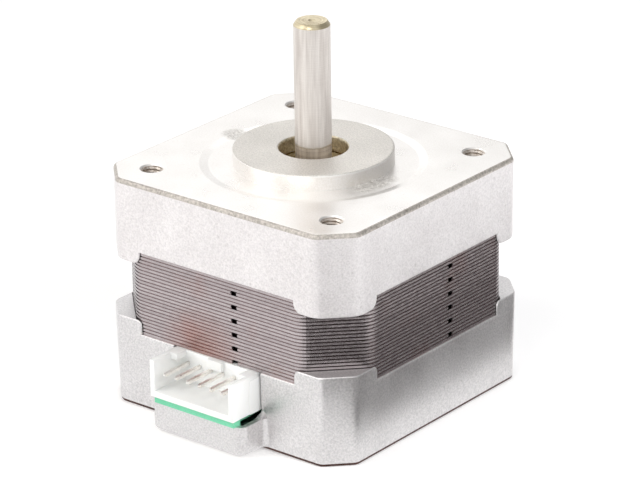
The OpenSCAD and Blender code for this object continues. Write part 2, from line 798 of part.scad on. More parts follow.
module assembly_screws() {
    color("#8a8a8c") corners() {
        difference() {
            union() {
                translate([0, 0, screw_head_z - screw_head_h])
                    cylinder(d = screw_head_d, h = screw_head_h, $fn = small_fn);
                translate([0, 0, screw_head_z - press_gap])
                    cylinder(d = screw_d, h = screw_tip - screw_point_h - screw_head_z, $fn = small_fn);
                translate([0, 0, screw_tip - screw_point_h - press_gap])
                    cylinder(d1 = screw_d, d2 = screw_d - 2 * screw_point_h, h = screw_point_h,
                        $fn = small_fn);
            }
            translate([0, 0, screw_head_z - screw_head_h - overrun])
                cylinder(d = screw_socket_d, h = screw_socket_h + overrun, $fn = 6);
        }
    }
}

// Springy ring between the rear bearing and its seat: one strip in three waves
wave_count = 3;
wave_steps = 48;
washer_inner_r = 6.6;
washer_outer_r = 7.8;
function washer_point(r, k, up) =
    let (a = 360 * k / wave_steps, lift = (washer_h - washer_t) / 2 - press_gap)
    [r * cos(a), r * sin(a), rear_seat_floor + press_gap + lift * (1 + sin(wave_count * a)) + up];

module wave_washer() {
    rings = [
        for (k = [0 : wave_steps - 1]) each [
            washer_point(washer_inner_r, k, 0), washer_point(washer_outer_r, k, 0),
            washer_point(washer_outer_r, k, washer_t), washer_point(washer_inner_r, k, washer_t)
        ]
    ];
    faces = [
        for (k = [0 : wave_steps - 1], c = [0 : 3])
            let (a = 4 * k, b = 4 * ((k + 1) % wave_steps), d = (c + 1) % 4)
            each [[a + c, a + d, b + d], [a + c, b + d, b + c]]
    ];
    color("#b9b7b2") polyhedron(rings, faces);
}

// Outer ring of a ball bearing, centred on z = 0
module bearing_outer_ring() {
    half = bearing_w / 2;
    inner = outer_ring_d / 2;
    step = inner + shield_groove;
    lip = half - shield_inset - shield_t;
    difference() {
        rotate_extrude() polygon([
            [inner, -lip], [step, -lip], [step, -half], [bearing_r - ring_bevel, -half],
            [bearing_r, -half + ring_bevel], [bearing_r, half - ring_bevel],
            [bearing_r - ring_bevel, half], [step, half], [step, lip], [inner, lip]
        ]);
        rotate_extrude() translate([ball_ring_r, 0]) circle(groove_r);
    }
}

// Inner ring of a ball bearing, centred on z = 0
module bearing_inner_ring() {
    half = bearing_w / 2;
    bore = shaft_d / 2;
    outer = inner_ring_d / 2;
    difference() {
        rotate_extrude() polygon([
            [bore, -half + ring_bevel], [bore + ring_bevel, -half], [outer, -half],
            [outer, half], [bore + ring_bevel, half], [bore, half - ring_bevel]
        ]);
        rotate_extrude() translate([ball_ring_r, 0]) circle(groove_r);
    }
}

// The two thin shields of a bearing, seated in the outer ring's steps
module bearing_shields() {
    inner = inner_ring_d / 2 + shield_gap;
    outer = outer_ring_d / 2 + shield_groove - press_gap;
    for (side = [0, 1]) mirror([0, 0, side])
        translate([0, 0, bearing_w / 2 - shield_inset - shield_t]) rotate_extrude()
            translate([inner, 0]) square([outer - inner, shield_t - press_gap]);
}

module bearing_balls() {
    for (i = [0 : ball_count - 1])
        rotate(360 * i / ball_count) translate([ball_ring_r, 0, 0]) sphere(d = ball_d, $fn = small_fn);
}

// Ring that keeps the balls apart, with a pocket round each
module bearing_cage() {
    difference() {
        rotate_extrude() translate([ball_ring_r - cage_t / 2, -cage_h / 2]) square([cage_t, cage_h]);
        for (i = [0 : ball_count - 1])
            rotate([0, 90, 360 * i / ball_count])
                cylinder(r = groove_r, h = 2 * ball_ring_r, $fn = small_fn);
    }
}

module at_front_bearing() {
    translate([0, 0, (front_bearing_top + front_bearing_bottom) / 2]) children();
}

module at_rear_bearing() {
    translate([0, 0, (rear_bearing_top + rear_bearing_bottom) / 2]) children();
}

module shaft() {
    r = shaft_d / 2;
    dimple = centre_dimple_d / 2;
    rear_chamfer = 0.3;
    color("#dcd8d4") rotate_extrude() polygon([
        [0, shaft_bottom], [journal_r - rear_chamfer, shaft_bottom],
        [journal_r, shaft_bottom + rear_chamfer], [journal_r, 0], [relief_r, 0],
        [relief_r, relief_top - relief_edge], [r - relief_edge, relief_top - relief_edge],
        [r, relief_top],
        [r, shaft_l - shaft_chamfer_l], [r - shaft_chamfer_w, shaft_l],
        [dimple, shaft_l], [0, shaft_l - dimple]
    ]);
}

// Toothed plan of a rotor cup
rotor_tooth_half = pitch_angle * tooth_share / 2;
rotor_root_share = 0.33;
rotor_root_half = rotor_tooth_half + (pitch_angle / 2 - rotor_tooth_half) * rotor_root_share;
function cup_points() = [for (i = [0 : rotor_teeth - 1]) let (a = i * pitch_angle) each [
    polar(rotor_r - rotor_tooth_h, a - rotor_root_half),
    polar(rotor_r, a - rotor_tooth_half), polar(rotor_r, a + rotor_tooth_half),
    polar(rotor_r - rotor_tooth_h, a + rotor_root_half)
]];

// One cup, with its magnet recess upwards and its outer end at z = 0
module rotor_cup() {
    difference() {
        linear_extrude(cup_l) difference() {
            polygon(cup_points());
            circle(d = shaft_d);
        }
        translate([0, 0, cup_l - magnet_recess])
            cylinder(d = magnet_d + 2 * press_gap, h = magnet_recess + overrun);
    }
}

module front_rotor_cup() {
    color("#9d9a98") translate([0, 0, stack_top]) mirror([0, 0, 1]) rotor_cup();
}

// The rear cup is turned by half a tooth
module rear_rotor_cup() {
    color("#9d9a98") translate([0, 0, stack_bottom]) rotate(pitch_angle / 2) rotor_cup();
}

module rotor_magnet() {
    color("#55555a") translate([0, 0, stack_mid - magnet_t / 2]) difference() {
        cylinder(d = magnet_d, h = magnet_t);
        translate([0, 0, -overrun]) cylinder(d = shaft_d, h = magnet_t + 2 * overrun);
    }
}

// Plain sleeve on the shaft between two heights
module sleeve(low, high) {
    translate([0, 0, low]) difference() {
        cylinder(d = sleeve_d, h = high - low);
        translate([0, 0, -overrun]) cylinder(d = shaft_d, h = high - low + 2 * overrun);
    }
}

front_end_cap();
rear_end_cap();
stator_core();
front_insulator();
rear_insulator();
coil(0);  // coil_1
coil(1);  // coil_2
coil(2);  // coil_3
coil(3);  // coil_4
coil(4);  // coil_5
coil(5);  // coil_6
coil(6);  // coil_7
coil(7);  // coil_8
winding_terminals();
circuit_board();
header_housing();
header_pins();
assembly_screws();
wave_washer();
color("#b4b3b1") at_front_bearing() bearing_outer_ring();  // front_bearing_outer_ring
color("#c4c2bf") at_front_bearing() bearing_shields();  // front_bearing_shields
color("#b4b3b1") at_rear_bearing() bearing_outer_ring();  // rear_bearing_outer_ring
color("#c4c2bf") at_rear_bearing() bearing_shields();  // rear_bearing_shields
shaft();
front_rotor_cup();
rear_rotor_cup();
rotor_magnet();
color("#b98f4f") sleeve(stack_top, front_bearing_bottom);  // front_sleeve
color("#b98f4f") sleeve(rear_bearing_top, stack_bottom);  // rear_sleeve
color("#b4b3b1") at_front_bearing() bearing_inner_ring();  // front_bearing_inner_ring
color("#b4b3b1") at_rear_bearing() bearing_inner_ring();  // rear_bearing_inner_ring
color("#e6e6e8") at_front_bearing() bearing_balls();  // front_bearing_balls
color("#c9a86a") at_front_bearing() bearing_cage();  // front_bearing_cage
color("#e6e6e8") at_rear_bearing() bearing_balls();  // rear_bearing_balls
color("#c9a86a") at_rear_bearing() bearing_cage();  // rear_bearing_cage
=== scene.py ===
# %% [markdown]
# A stepper motor of the common 42 mm frame, dressed for its photograph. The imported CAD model
# comes in first, as a fixed frame in metres: every piece made below sits where that frame says.
# Lengths in this lesson are written in millimetres and turned to metres where a mesh is made.

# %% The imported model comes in
import math

import bmesh
import bpy
import numpy as np
from mathutils import Matrix, Vector


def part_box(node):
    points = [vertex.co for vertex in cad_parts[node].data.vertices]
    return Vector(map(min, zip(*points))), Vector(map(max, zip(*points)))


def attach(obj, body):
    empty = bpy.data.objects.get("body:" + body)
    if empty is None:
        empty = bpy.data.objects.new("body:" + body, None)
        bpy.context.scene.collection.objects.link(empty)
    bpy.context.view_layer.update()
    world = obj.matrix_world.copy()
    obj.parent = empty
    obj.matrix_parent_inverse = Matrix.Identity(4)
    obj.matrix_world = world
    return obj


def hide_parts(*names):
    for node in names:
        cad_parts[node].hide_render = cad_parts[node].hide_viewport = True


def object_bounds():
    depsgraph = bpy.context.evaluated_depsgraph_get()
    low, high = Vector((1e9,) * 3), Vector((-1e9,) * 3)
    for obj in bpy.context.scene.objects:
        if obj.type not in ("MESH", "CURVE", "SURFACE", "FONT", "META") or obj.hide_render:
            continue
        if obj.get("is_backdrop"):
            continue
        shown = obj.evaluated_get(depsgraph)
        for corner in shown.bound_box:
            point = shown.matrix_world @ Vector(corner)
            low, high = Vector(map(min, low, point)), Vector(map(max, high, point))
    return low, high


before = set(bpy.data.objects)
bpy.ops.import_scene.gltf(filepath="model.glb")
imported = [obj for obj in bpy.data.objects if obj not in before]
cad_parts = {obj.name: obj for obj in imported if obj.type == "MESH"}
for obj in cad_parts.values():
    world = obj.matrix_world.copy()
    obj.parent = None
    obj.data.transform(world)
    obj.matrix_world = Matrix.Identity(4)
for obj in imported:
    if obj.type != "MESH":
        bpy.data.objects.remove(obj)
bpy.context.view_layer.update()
MM = 0.001
TURN = 2 * np.pi
QUARTER = TURN / 4

# %% [markdown]
# The camera comes before the looks, so that every render is made in the same frame. It is a
# pinhole camera fitted to the corners, holes and pilot of the motor in the photograph: a long lens
# half a metre away, 22 degrees above the face, turned 39 degrees round the axis and rolled a
# little. The plain Standard view shows a written colour as it was written.


# %% Camera
def show(name, data):
    """A new object with this data, linked into the scene."""
    made = bpy.data.objects.new(name, data)
    bpy.context.scene.collection.objects.link(made)
    return made


AZIMUTH, ELEVATION, ROLL = np.radians([39.008, 22.347, -0.762])
CAMERA_MM = (293.33, -360.99, 179.49)
FOCAL_PX, FRAME_PX, SENSOR_MM = 3682.6, 640, 36

level = np.array([np.cos(AZIMUTH), np.sin(AZIMUTH), 0.0])
flat_back = np.cos(ELEVATION) * np.array([np.sin(AZIMUTH), -np.cos(AZIMUTH)])
back = np.array([*flat_back, np.sin(ELEVATION)])
upward = np.cross(back, level)
right = level * np.cos(ROLL) + upward * np.sin(ROLL)
top = -level * np.sin(ROLL) + upward * np.cos(ROLL)
pose = np.column_stack([right, top, back, np.array(CAMERA_MM) * MM])
camera = show("photo_camera", bpy.data.cameras.new("photo_camera"))
camera.data.sensor_width = SENSOR_MM
camera.data.lens = SENSOR_MM * FOCAL_PX / FRAME_PX
camera.matrix_world = Matrix([*(tuple(row) for row in pose), (0, 0, 0, 1)])
bpy.context.scene.camera = camera
bpy.context.scene.view_settings.view_transform = "Standard"
print("lens", round(camera.data.lens, 1), "mm")

# %% [markdown]
# Every finish is built from nodes. Three small functions serve them all: one turns a written sRGB
# colour into the linear values that a shader mixes, one fills and links a node's inputs, one adds
# a node with its settings. Patterns read Object coordinates, which are metres here, so the scale
# of a texture is one over the size of its grain in metres.


# %% Colour and node helpers
def linear(written):
    """An sRGB colour such as #8FA3B0 as linear red, green, blue and alpha."""
    parts = np.array([int(written[i:i + 2], 16) for i in (1, 3, 5)]) / 255
    return (*np.where(parts <= 0.04045, parts / 12.92, ((parts + 0.055) / 1.055) ** 2.4), 1.0)


def wire(tree, node, inputs):
    """Fills or links inputs; a node stands for its first output in use, a text for a colour."""
    for name, value in inputs.items():
        if isinstance(value, bpy.types.Node):
            value = next(output for output in value.outputs if output.enabled)
        if isinstance(value, bpy.types.NodeSocket):
            tree.links.new(value, node.inputs[name])
        else:
            node.inputs[name].default_value = linear(value) if isinstance(value, str) else value


def add(tree, kind, inputs=None, **settings):
    """Adds one shader node of this kind, sets its settings, and fills or links its inputs."""
    made = tree.nodes.new("ShaderNode" + kind)
    for name, value in settings.items():
        setattr(made, name, value)
    wire(tree, made, inputs or {})
    return made


def per_mm(size):
    """Texture scale at which one cell of the pattern is this many millimetres wide."""
    return 1 / (size * MM)


def start_finish(name, **sockets):
    """A new material: its tree, its shader with these values, and its Object coordinates."""
    material = bpy.data.materials.new(name)
    material.use_nodes = True
    tree = material.node_tree
    shader = tree.nodes["Principled BSDF"]
    wire(tree, shader, {socket.replace("_", " "): value for socket, value in sockets.items()})
    return material, tree, shader, add(tree, "TexCoord").outputs["Object"]


# A node that mixes two colours numbers its inputs: the second's share, the first, the second
SHARE, FIRST, SECOND = 0, 6, 7
# Most of a noise's values lie in this span, which is stretched over a range of roughness
NOISE = {"From Min": 0.3, "From Max": 0.7}

# %% [markdown]
# Both end caps are die-cast aluminium. The casting skin is blasted with fine beads, which leaves
# a satin, slightly sparkling grey-white without a mirror image. The grain could be modelled, but
# it is a tenth of a millimetre deep at most, so bump from two noises shows it at less cost: one
# for the beads' craters, one for the slow unevenness of a casting. Real craters are near 0.1 mm
# wide, too fine to show, so they are drawn at 0.2 mm or more. The machined face has the same
# metal with a shallower grain.


# %% Cast and machined aluminium
CAST_WAVE, PIT_STEP = 6.0, 1.6


def blasted_aluminium(name, dark, pale, rough, grain, depth, pits, waves, metal=1.0):
    """Two tones mottled by two noises, pitted, with a bump; grain, depth and waves in mm."""
    material, tree, shader, place = start_finish(name, Metallic=metal)
    crater = add(tree, "TexNoise", {
        "Vector": place, "Scale": per_mm(grain), "Detail": 4.0, "Roughness": 0.62})
    slow = add(tree, "TexNoise", {"Vector": place, "Scale": per_mm(CAST_WAVE), "Detail": 3.0})
    # The craters count three times as much as the slow noise; both are near a half
    tone = add(tree, "Math", {0: crater, 1: 3.0, 2: slow}, operation="MULTIPLY_ADD")
    spread = add(tree, "MapRange", {"Value": tone, "From Min": 1.35, "From Max": 2.65})
    mottle = add(tree, "Mix", {SHARE: spread, FIRST: dark, SECOND: pale}, data_type="RGBA")
    tinted = add(tree, "Mix", {SHARE: 0.1, FIRST: mottle, SECOND: crater.outputs["Color"]},
                 data_type="RGBA", blend_type="SOFT_LIGHT")
    pit = add(tree, "TexVoronoi", {"Vector": place, "Scale": per_mm(PIT_STEP)})
    deep = add(tree, "MapRange", {
        "Value": pit, "From Min": 0.05, "From Max": 0.16, "To Min": pits, "To Max": 0.0})
    colour = add(tree, "Mix", {SHARE: deep, FIRST: tinted, SECOND: "#8F8984"}, data_type="RGBA")
    gloss = add(tree, "MapRange", {
        "Value": slow, **NOISE, "To Min": rough - 0.06, "To Max": rough + 0.06})
    bump = add(tree, "Bump", {"Height": crater, "Strength": 1.0, "Distance": depth * MM})
    swell = add(tree, "Bump", {
        "Height": slow, "Strength": 0.6, "Distance": waves * MM, "Normal": bump})
    wire(tree, shader, {"Base Color": colour, "Roughness": gloss, "Normal": swell})
    return material


# The front cap's blasted skin: pale and soft, with hardly a reflection
cast_front = blasted_aluminium(
    "blasted_die_cast_aluminium", "#D6D1D1", "#F2EFEF", rough=0.38, grain=0.25, depth=0.045,
    pits=0.2, waves=0.03, metal=0.45)
# The rear cap's skin: more metallic, so the ground fades across it as a broad sheen
cast_rear = blasted_aluminium(
    "die_cast_aluminium", "#C8C5C5", "#ECEAEA", rough=0.36, grain=0.27, depth=0.035,
    pits=0.15, waves=0.04, metal=0.85)
# The milled face: the brightest and calmest metal, a blurred mirror of the room
milled_face = blasted_aluminium(
    "milled_aluminium_face", "#EFEBE6", "#FDFBF9", rough=0.31, grain=0.2, depth=0.007,
    pits=0.06, waves=0.001)
# The pilot's top: a sparkling grain that stays a shade darker than the face round it
blasted_boss = blasted_aluminium(
    "blasted_aluminium_boss", "#C2BDB6", "#E8E4DE", rough=0.42, grain=0.22, depth=0.06,
    pits=0.2, waves=0.01, metal=0.75)
# The bevel round the face: rough, painted darker as shade, a thin line that draws the cap's edge
milled_rim = blasted_aluminium(
    "milled_aluminium_rim", "#9B938B", "#DAD4CD", rough=0.4, grain=0.35, depth=0.06,
    pits=0.4, waves=0.02, metal=0.8)
# The pilot's bore: bright metal under brown oil
oily_bore = blasted_aluminium(
    "oily_bore_aluminium", "#A6977C", "#FAF0D6", rough=0.34, grain=0.45, depth=0.12,
    pits=0.3, waves=0.05, metal=0.7)
# The foot of the rear cap: a painted contact shadow, a dark brown line along the ground
painted_foot_shadow = blasted_aluminium(
    "painted_foot_shadow_aluminium", "#3A2724", "#6B514B", rough=0.5, grain=0.4, depth=0.04,
    pits=0.2, waves=0.05)

# %% [markdown]
# The cutter missed a few low spots of the face, and they keep the rough casting skin. Each is
# where a ball, its centre just below the face, cuts through it. They could be pieces of their
# own, but they have no thickness, so they are masks in the face's own finish.

# %% Patches on the milled face
# Centre in mm, radius in mm, strength
PATCHES = (((11.6, -3.8, -2.2), 2.75, 0.9), ((12.1, -1.4, -2.2), 2.8, 0.9),
           ((12.1, 0.8, -2.2), 2.6, 0.8), ((-15.1, 1.4, -2.0), 2.9, 0.7))
tree = milled_face.node_tree
shader = tree.nodes["Principled BSDF"]
place = tree.nodes["Texture Coordinate"].outputs["Object"]
clean, gloss = (shader.inputs[name].links[0].from_socket for name in ("Base Color", "Roughness"))
speckle = add(tree, "TexNoise", {
    "Vector": place, "Scale": per_mm(0.4), "Detail": 4.0, "Roughness": 0.85})
marked = 0.0
for spot, reach, strength in PATCHES:
    centre = tuple(np.array(spot) * MM)
    away = add(tree, "VectorMath", {0: place, 1: centre}, operation="DISTANCE")
    mark = add(tree, "MapRange", {"Value": away, "From Min": reach * 0.82 * MM,
                                  "From Max": reach * MM, "To Min": strength, "To Max": 0.0})
    marked = add(tree, "Math", {0: mark, 1: marked}, operation="MAXIMUM")
speck = add(tree, "MapRange", {"Value": speckle, "From Min": 0.42, "From Max": 0.58})
skin = add(tree, "Mix", {SHARE: speck, FIRST: "#AEA9A2", SECOND: "#E6E3DE"}, data_type="RGBA")
patched = add(tree, "Mix", {SHARE: marked, FIRST: clean, SECOND: skin}, data_type="RGBA")
bare = add(tree, "MapRange", {"Value": marked, "To Min": 1.0, "To Max": 0.4})
coarse = add(tree, "Math", {0: marked, 1: 0.2, 2: gloss}, operation="MULTIPLY_ADD")
wire(tree, shader, {"Base Color": patched, "Metallic": bare, "Roughness": coarse})
print("aluminium finishes:", len(bpy.data.materials), "patches:", len(PATCHES))

# %% [markdown]
# The stator is a stack of 0.5 mm sheets of silicon steel, punched and glued. Each sheet's cut edge
# is burnished by the punch in its middle and torn and dull at the joint, and no two sheets are
# alike. A cell per sheet along the axis gives each its own brightness, and a noise that is
# stretched round the motor gives the streaks along its edge. A little rust browns one low patch.

# %% Lamination steel
SHEET = 0.5
RUST_MM = (-2.8, -20.9, -22.2)
NOTCH_FLOOR, NOTCH_REACH = 20.5, 5
BEVEL_FROM, BEVEL_TO = 34.6, 34.9
lamination, tree, shader, place = start_finish("punched_silicon_steel_stack")
axes = add(tree, "SeparateXYZ", {"Vector": place})
sheet = add(tree, "Math", {0: axes.outputs["Z"], 1: per_mm(SHEET)}, operation="MULTIPLY")
number = add(tree, "Math", {0: sheet}, operation="FLOOR")
within = add(tree, "Math", {0: sheet}, operation="FRACT")
chance = add(tree, "TexWhiteNoise", {"W": number}, noise_dimensions="1D")
stretch = add(tree, "Mapping", {"Vector": place, "Scale": (1.0, 1.0, 4.0)})
streak = add(tree, "TexNoise", {
    "Vector": stretch, "Scale": per_mm(0.9), "Detail": 5.0, "Roughness": 0.7})
patch = add(tree, "TexNoise", {"Vector": place, "Scale": per_mm(7.0), "Detail": 3.0})
tone = add(tree, "Math", {0: chance, 1: 0.2, 2: streak}, operation="MULTIPLY_ADD")
steel = add(tree, "MapRange", {"Value": tone, "From Min": 0.3, "From Max": 0.9})
grey = add(tree, "Mix", {SHARE: steel, FIRST: "#9F9798", SECOND: "#C3BBBC"}, data_type="RGBA")
near = add(tree, "VectorMath", {0: place, 1: tuple(np.array(RUST_MM) * MM)}, operation="DISTANCE")
low_patch = add(tree, "MapRange", {
    "Value": near, "From Min": 1 * MM, "From Max": 7.5 * MM, "To Min": 0.6, "To Max": 0.0})
rusty = add(tree, "MapRange", {
    "Value": patch, "From Min": 0.55, "From Max": 0.85, "To Max": 0.35})
stain = add(tree, "Math", {0: rusty, 1: low_patch}, operation="ADD", use_clamp=True)
brown = add(tree, "Mix", {SHARE: stain, FIRST: grey, SECOND: "#A87C70"}, data_type="RGBA")
# Distance from the middle of the sheet, 0 to 0.5 of it: the outer part is the torn joint
middle = add(tree, "Math", {0: within, 1: 0.5}, operation="SUBTRACT")
off = add(tree, "Math", {0: middle}, operation="ABSOLUTE")
torn = add(tree, "MapRange", {"Value": off, "From Min": 0.25, "From Max": 0.38})
joint = add(tree, "Mix", {SHARE: stain, FIRST: "#A89A9A", SECOND: "#A4685A"}, data_type="RGBA")
edge = add(tree, "Mix", {SHARE: torn, FIRST: brown, SECOND: joint}, data_type="RGBA")
# An index notch is half a millimetre deep, and its floor is painted dark as the shade inside it
side = add(tree, "VectorMath", {0: place}, operation="ABSOLUTE")
reach = add(tree, "SeparateXYZ", {"Vector": side})
plan = {0: reach.outputs["X"], 1: reach.outputs["Y"]}
far = add(tree, "Math", plan, operation="MAXIMUM")
aside = add(tree, "Math", plan, operation="MINIMUM")
sunk = add(tree, "Math", {0: far, 1: NOTCH_FLOOR * MM, 2: 0.2 * MM}, operation="COMPARE")
central = add(tree, "Math", {0: aside, 1: NOTCH_REACH * MM}, operation="LESS_THAN")
notch = add(tree, "Math", {0: sunk, 1: central}, operation="MULTIPLY")
# The joints on the four corner bevels, where x and y add up to the most, are painted dark as shade
bevel = add(tree, "Math", {0: far, 1: aside}, operation="ADD")
bevel_shade_share = add(tree, "MapRange", {
    "Value": bevel, "From Min": BEVEL_FROM * MM, "From Max": BEVEL_TO * MM, "To Max": 0.85})
painted_bevel_shade = add(tree, "Math", {0: bevel_shade_share, 1: torn}, operation="MULTIPLY")
bevel_shaded = add(tree, "Mix", {SHARE: painted_bevel_shade, FIRST: edge, SECOND: "#332D2E"}, data_type="RGBA")
shaded_notch = add(tree, "Mix", {SHARE: notch, FIRST: bevel_shaded, SECOND: "#2A2422"}, data_type="RGBA")
bare = add(tree, "MapRange", {"Value": torn, "To Min": 0.82, "To Max": 1.0})
gloss = add(tree, "MapRange", {"Value": streak, **NOISE, "To Min": 0.14, "To Max": 0.26})
bump = add(tree, "Bump", {"Height": streak, "Strength": 1.0, "Distance": 0.03 * MM})
wire(tree, shader, {
    "Base Color": shaded_notch, "Metallic": bare, "Roughness": gloss, "Normal": bump})
print("stack:", lamination.name, "with", len(tree.nodes), "nodes")

# %% [markdown]
# The ground shaft, the bearings and the screws are steels that differ in how they were finished.
# A lathe or grinder leaves rings round the axis, so their fine marks come from a noise that only
# sees the height along the axis and the distance from it, and not the angle. Real marks are a few
# hundredths of a millimetre apart; most are drawn wider here, because finer ones don't show.


# %% Turned and ground steels
def turned_steel(name, dark, pale, rough, mark, depth, drawn=1.0, metal=1.0):
    """Metal with rings round the motor's axis; drawn below 1 stretches its smear along it."""
    material, tree, shader, place = start_finish(name, Metallic=metal)
    axes = add(tree, "SeparateXYZ", {"Vector": place})
    flat = add(tree, "CombineXYZ", {"X": axes.outputs["X"], "Y": axes.outputs["Y"]})
    radius = add(tree, "VectorMath", {0: flat}, operation="LENGTH")
    ring = add(tree, "CombineXYZ", {"X": radius, "Y": axes.outputs["Z"]})
    marks = add(tree, "TexNoise", {"Vector": ring, "Scale": per_mm(mark), "Detail": 3.0})
    pulled = add(tree, "Mapping", {"Vector": place, "Scale": (1.0, 1.0, drawn)})
    smear = add(tree, "TexNoise", {
        "Vector": pulled, "Scale": per_mm(1.8 * drawn ** 0.5), "Detail": 4.0})
    tone = add(tree, "Math", {0: marks, 1: smear}, operation="ADD")
    spread = add(tree, "MapRange", {"Value": tone, "From Min": 0.75, "From Max": 1.25})
    colour = add(tree, "Mix", {SHARE: spread, FIRST: dark, SECOND: pale}, data_type="RGBA")
    gloss = add(tree, "MapRange", {
        "Value": smear, **NOISE, "To Min": rough - 0.05, "To Max": rough + 0.08})
    bump = add(tree, "Bump", {"Height": marks, "Strength": 1.0, "Distance": depth * MM})
    wire(tree, shader, {"Base Color": colour, "Roughness": gloss, "Normal": bump})
    return material


# The numbers are roughness, then the width and the depth of a mark in mm
# The shaft: long grey streaks, no mirror
ground_shaft = turned_steel(
    "ground_shaft_steel", "#C3BBB5", "#ECE7E2", 0.46, 0.05, 0.002, drawn=0.06, metal=0.6)
# Its relief above the bearing: warmer, with crisper streaks
relief_steel = turned_steel(
    "turned_relief_steel", "#B0A294", "#F6ECE0", 0.42, 0.04, 0.003, drawn=0.1, metal=0.6)
# Its chamfered end: yellowed by oil, with broad rings
chamfer_steel = turned_steel("turned_shaft_end_steel", "#B3A483", "#EADFC2", 0.3, 0.15, 0.01)
# Bearing rings under a film of grease, and their yellow chromated shields
bearing_ring = turned_steel("ground_bearing_steel", "#8A7C62", "#C9BB9A", 0.25, 0.1, 0.004)
bearing_shield = turned_steel("pressed_shield_steel", "#A8803A", "#F6CE78", 0.28, 0.3, 0.02)
# Balls: close to a mirror
ball_steel = turned_steel("lapped_ball_steel", "#B5B3B1", "#D8D6D4", 0.12, 0.5, 0.001)
# Rotor cups: matt, with coarse grinding rings; the magnet between them is darker
rotor_steel = turned_steel("sintered_rotor_steel", "#77726E", "#A8A29C", 0.42, 0.3, 0.02)
magnet_alloy = turned_steel("ground_magnet_alloy", "#6A6868", "#8F8C8B", 0.4, 0.15, 0.01)
# Screws: black oxide that still glints at the edges; the wave washer: plain rolled steel
screw_steel = turned_steel("blackened_screw_steel", "#3B3A3C", "#6A696B", 0.38, 0.25, 0.01)
spring_steel = turned_steel("rolled_spring_steel", "#8C8A88", "#BEBBB8", 0.28, 0.2, 0.004)
# Sleeves and ball cages: warm yellow brass; pins and terminals: nearly white tin
sleeve_brass = turned_steel("turned_brass", "#A98545", "#D8B673", 0.28, 0.12, 0.006)
tinned_brass = turned_steel("tinned_brass", "#EAE4DE", "#FAF8F5", 0.3, 0.3, 0.006)
# Threads: freshly cut aluminium whose flanks catch the light
cut_thread = turned_steel("cut_aluminium_thread", "#B4A79B", "#F0E8E0", 0.3, 0.2, 0.01)
print("finishes so far:", len(bpy.data.materials))

# %% [markdown]
# The plastics: a cream nylon header, white nylon insulators, and the mint-green solder mask on
# the glass laminate of the circuit board. Moulded nylon is a little translucent, which a touch of
# subsurface scattering shows, and its surface has a faint sparked texture from the mould. That
# texture is finer than a pixel, so it is drawn at 0.18 mm. The coils are enamelled copper wire,
# a bright brown metal under a clear coat.


# %% Moulded nylon, laminate and enamelled wire
def moulded_nylon(name, dark, pale, rough, glow):
    """Plastic with a slow tint variation and a fine sparked bump."""
    material, tree, shader, place = start_finish(
        name, IOR=1.53, Subsurface_Weight=glow, Subsurface_Scale=0.4 * MM,
        Subsurface_Radius=(1.0, 0.9, 0.8))
    slow = add(tree, "TexNoise", {"Vector": place, "Scale": per_mm(4.0), "Detail": 3.0})
    spark = add(tree, "TexNoise", {"Vector": place, "Scale": per_mm(0.18), "Detail": 2.0})
    colour = add(tree, "Mix", {SHARE: slow, FIRST: dark, SECOND: pale}, data_type="RGBA")
    gloss = add(tree, "MapRange", {
        "Value": spark, **NOISE, "To Min": rough - 0.05, "To Max": rough + 0.05})
    bump = add(tree, "Bump", {"Height": spark, "Strength": 0.6, "Distance": 0.012 * MM})
    wire(tree, shader, {"Base Color": colour, "Roughness": gloss, "Normal": bump})
    return material


header_nylon = moulded_nylon("moulded_cream_nylon", "#F5F6F3", "#FCFDFC", 0.42, glow=0.12)
insulator_nylon = moulded_nylon("moulded_white_nylon", "#E2E0DA", "#EFEEEA", 0.45, glow=0.08)
solder_mask = moulded_nylon("green_solder_mask", "#5CCB9B", "#8FE3BE", 0.3, glow=0.0)

enamel_wire, tree, shader, place = start_finish(
    "enamelled_copper_wire", Metallic=1.0, Coat_Weight=0.6, Coat_Roughness=0.08)
lay = add(tree, "TexNoise", {"Vector": place, "Scale": per_mm(0.8), "Detail": 3.0})
copper = add(tree, "Mix", {SHARE: lay, FIRST: "#8A4326", SECOND: "#C9744A"}, data_type="RGBA")
gloss = add(tree, "MapRange", {"Value": lay, **NOISE, "To Min": 0.22, "To Max": 0.38})
wire(tree, shader, {"Base Color": copper, "Roughness": gloss})
print("finishes so far:", len(bpy.data.materials))

# %% [markdown]
# New pieces are surfaces on a grid: one array of points, with rows along one parameter and columns
# along the other. The faces are worked out from the grid's own numbering, rows that meet in a pole
# or in a step of no height are merged, and the normals are turned outwards once the skin is closed.


# %% From a grid of points to a piece
def weld(mesh, gap=2e-7):
    """Merges doubles, drops what has no area, and points every face outwards."""
    work = bmesh.new()
    work.from_mesh(mesh)
    bmesh.ops.remove_doubles(work, verts=work.verts, dist=gap)
    bmesh.ops.dissolve_degenerate(work, edges=work.edges, dist=gap)
    bmesh.ops.recalc_face_normals(work, faces=work.faces)
    work.to_mesh(mesh)
    work.free()


def soften(mesh, crease=35):
    """Shades a mesh smooth, apart from edges that turn by more than the crease in degrees."""
    mesh.shade_smooth()
    mesh.set_sharp_from_angle(angle=math.radians(crease))


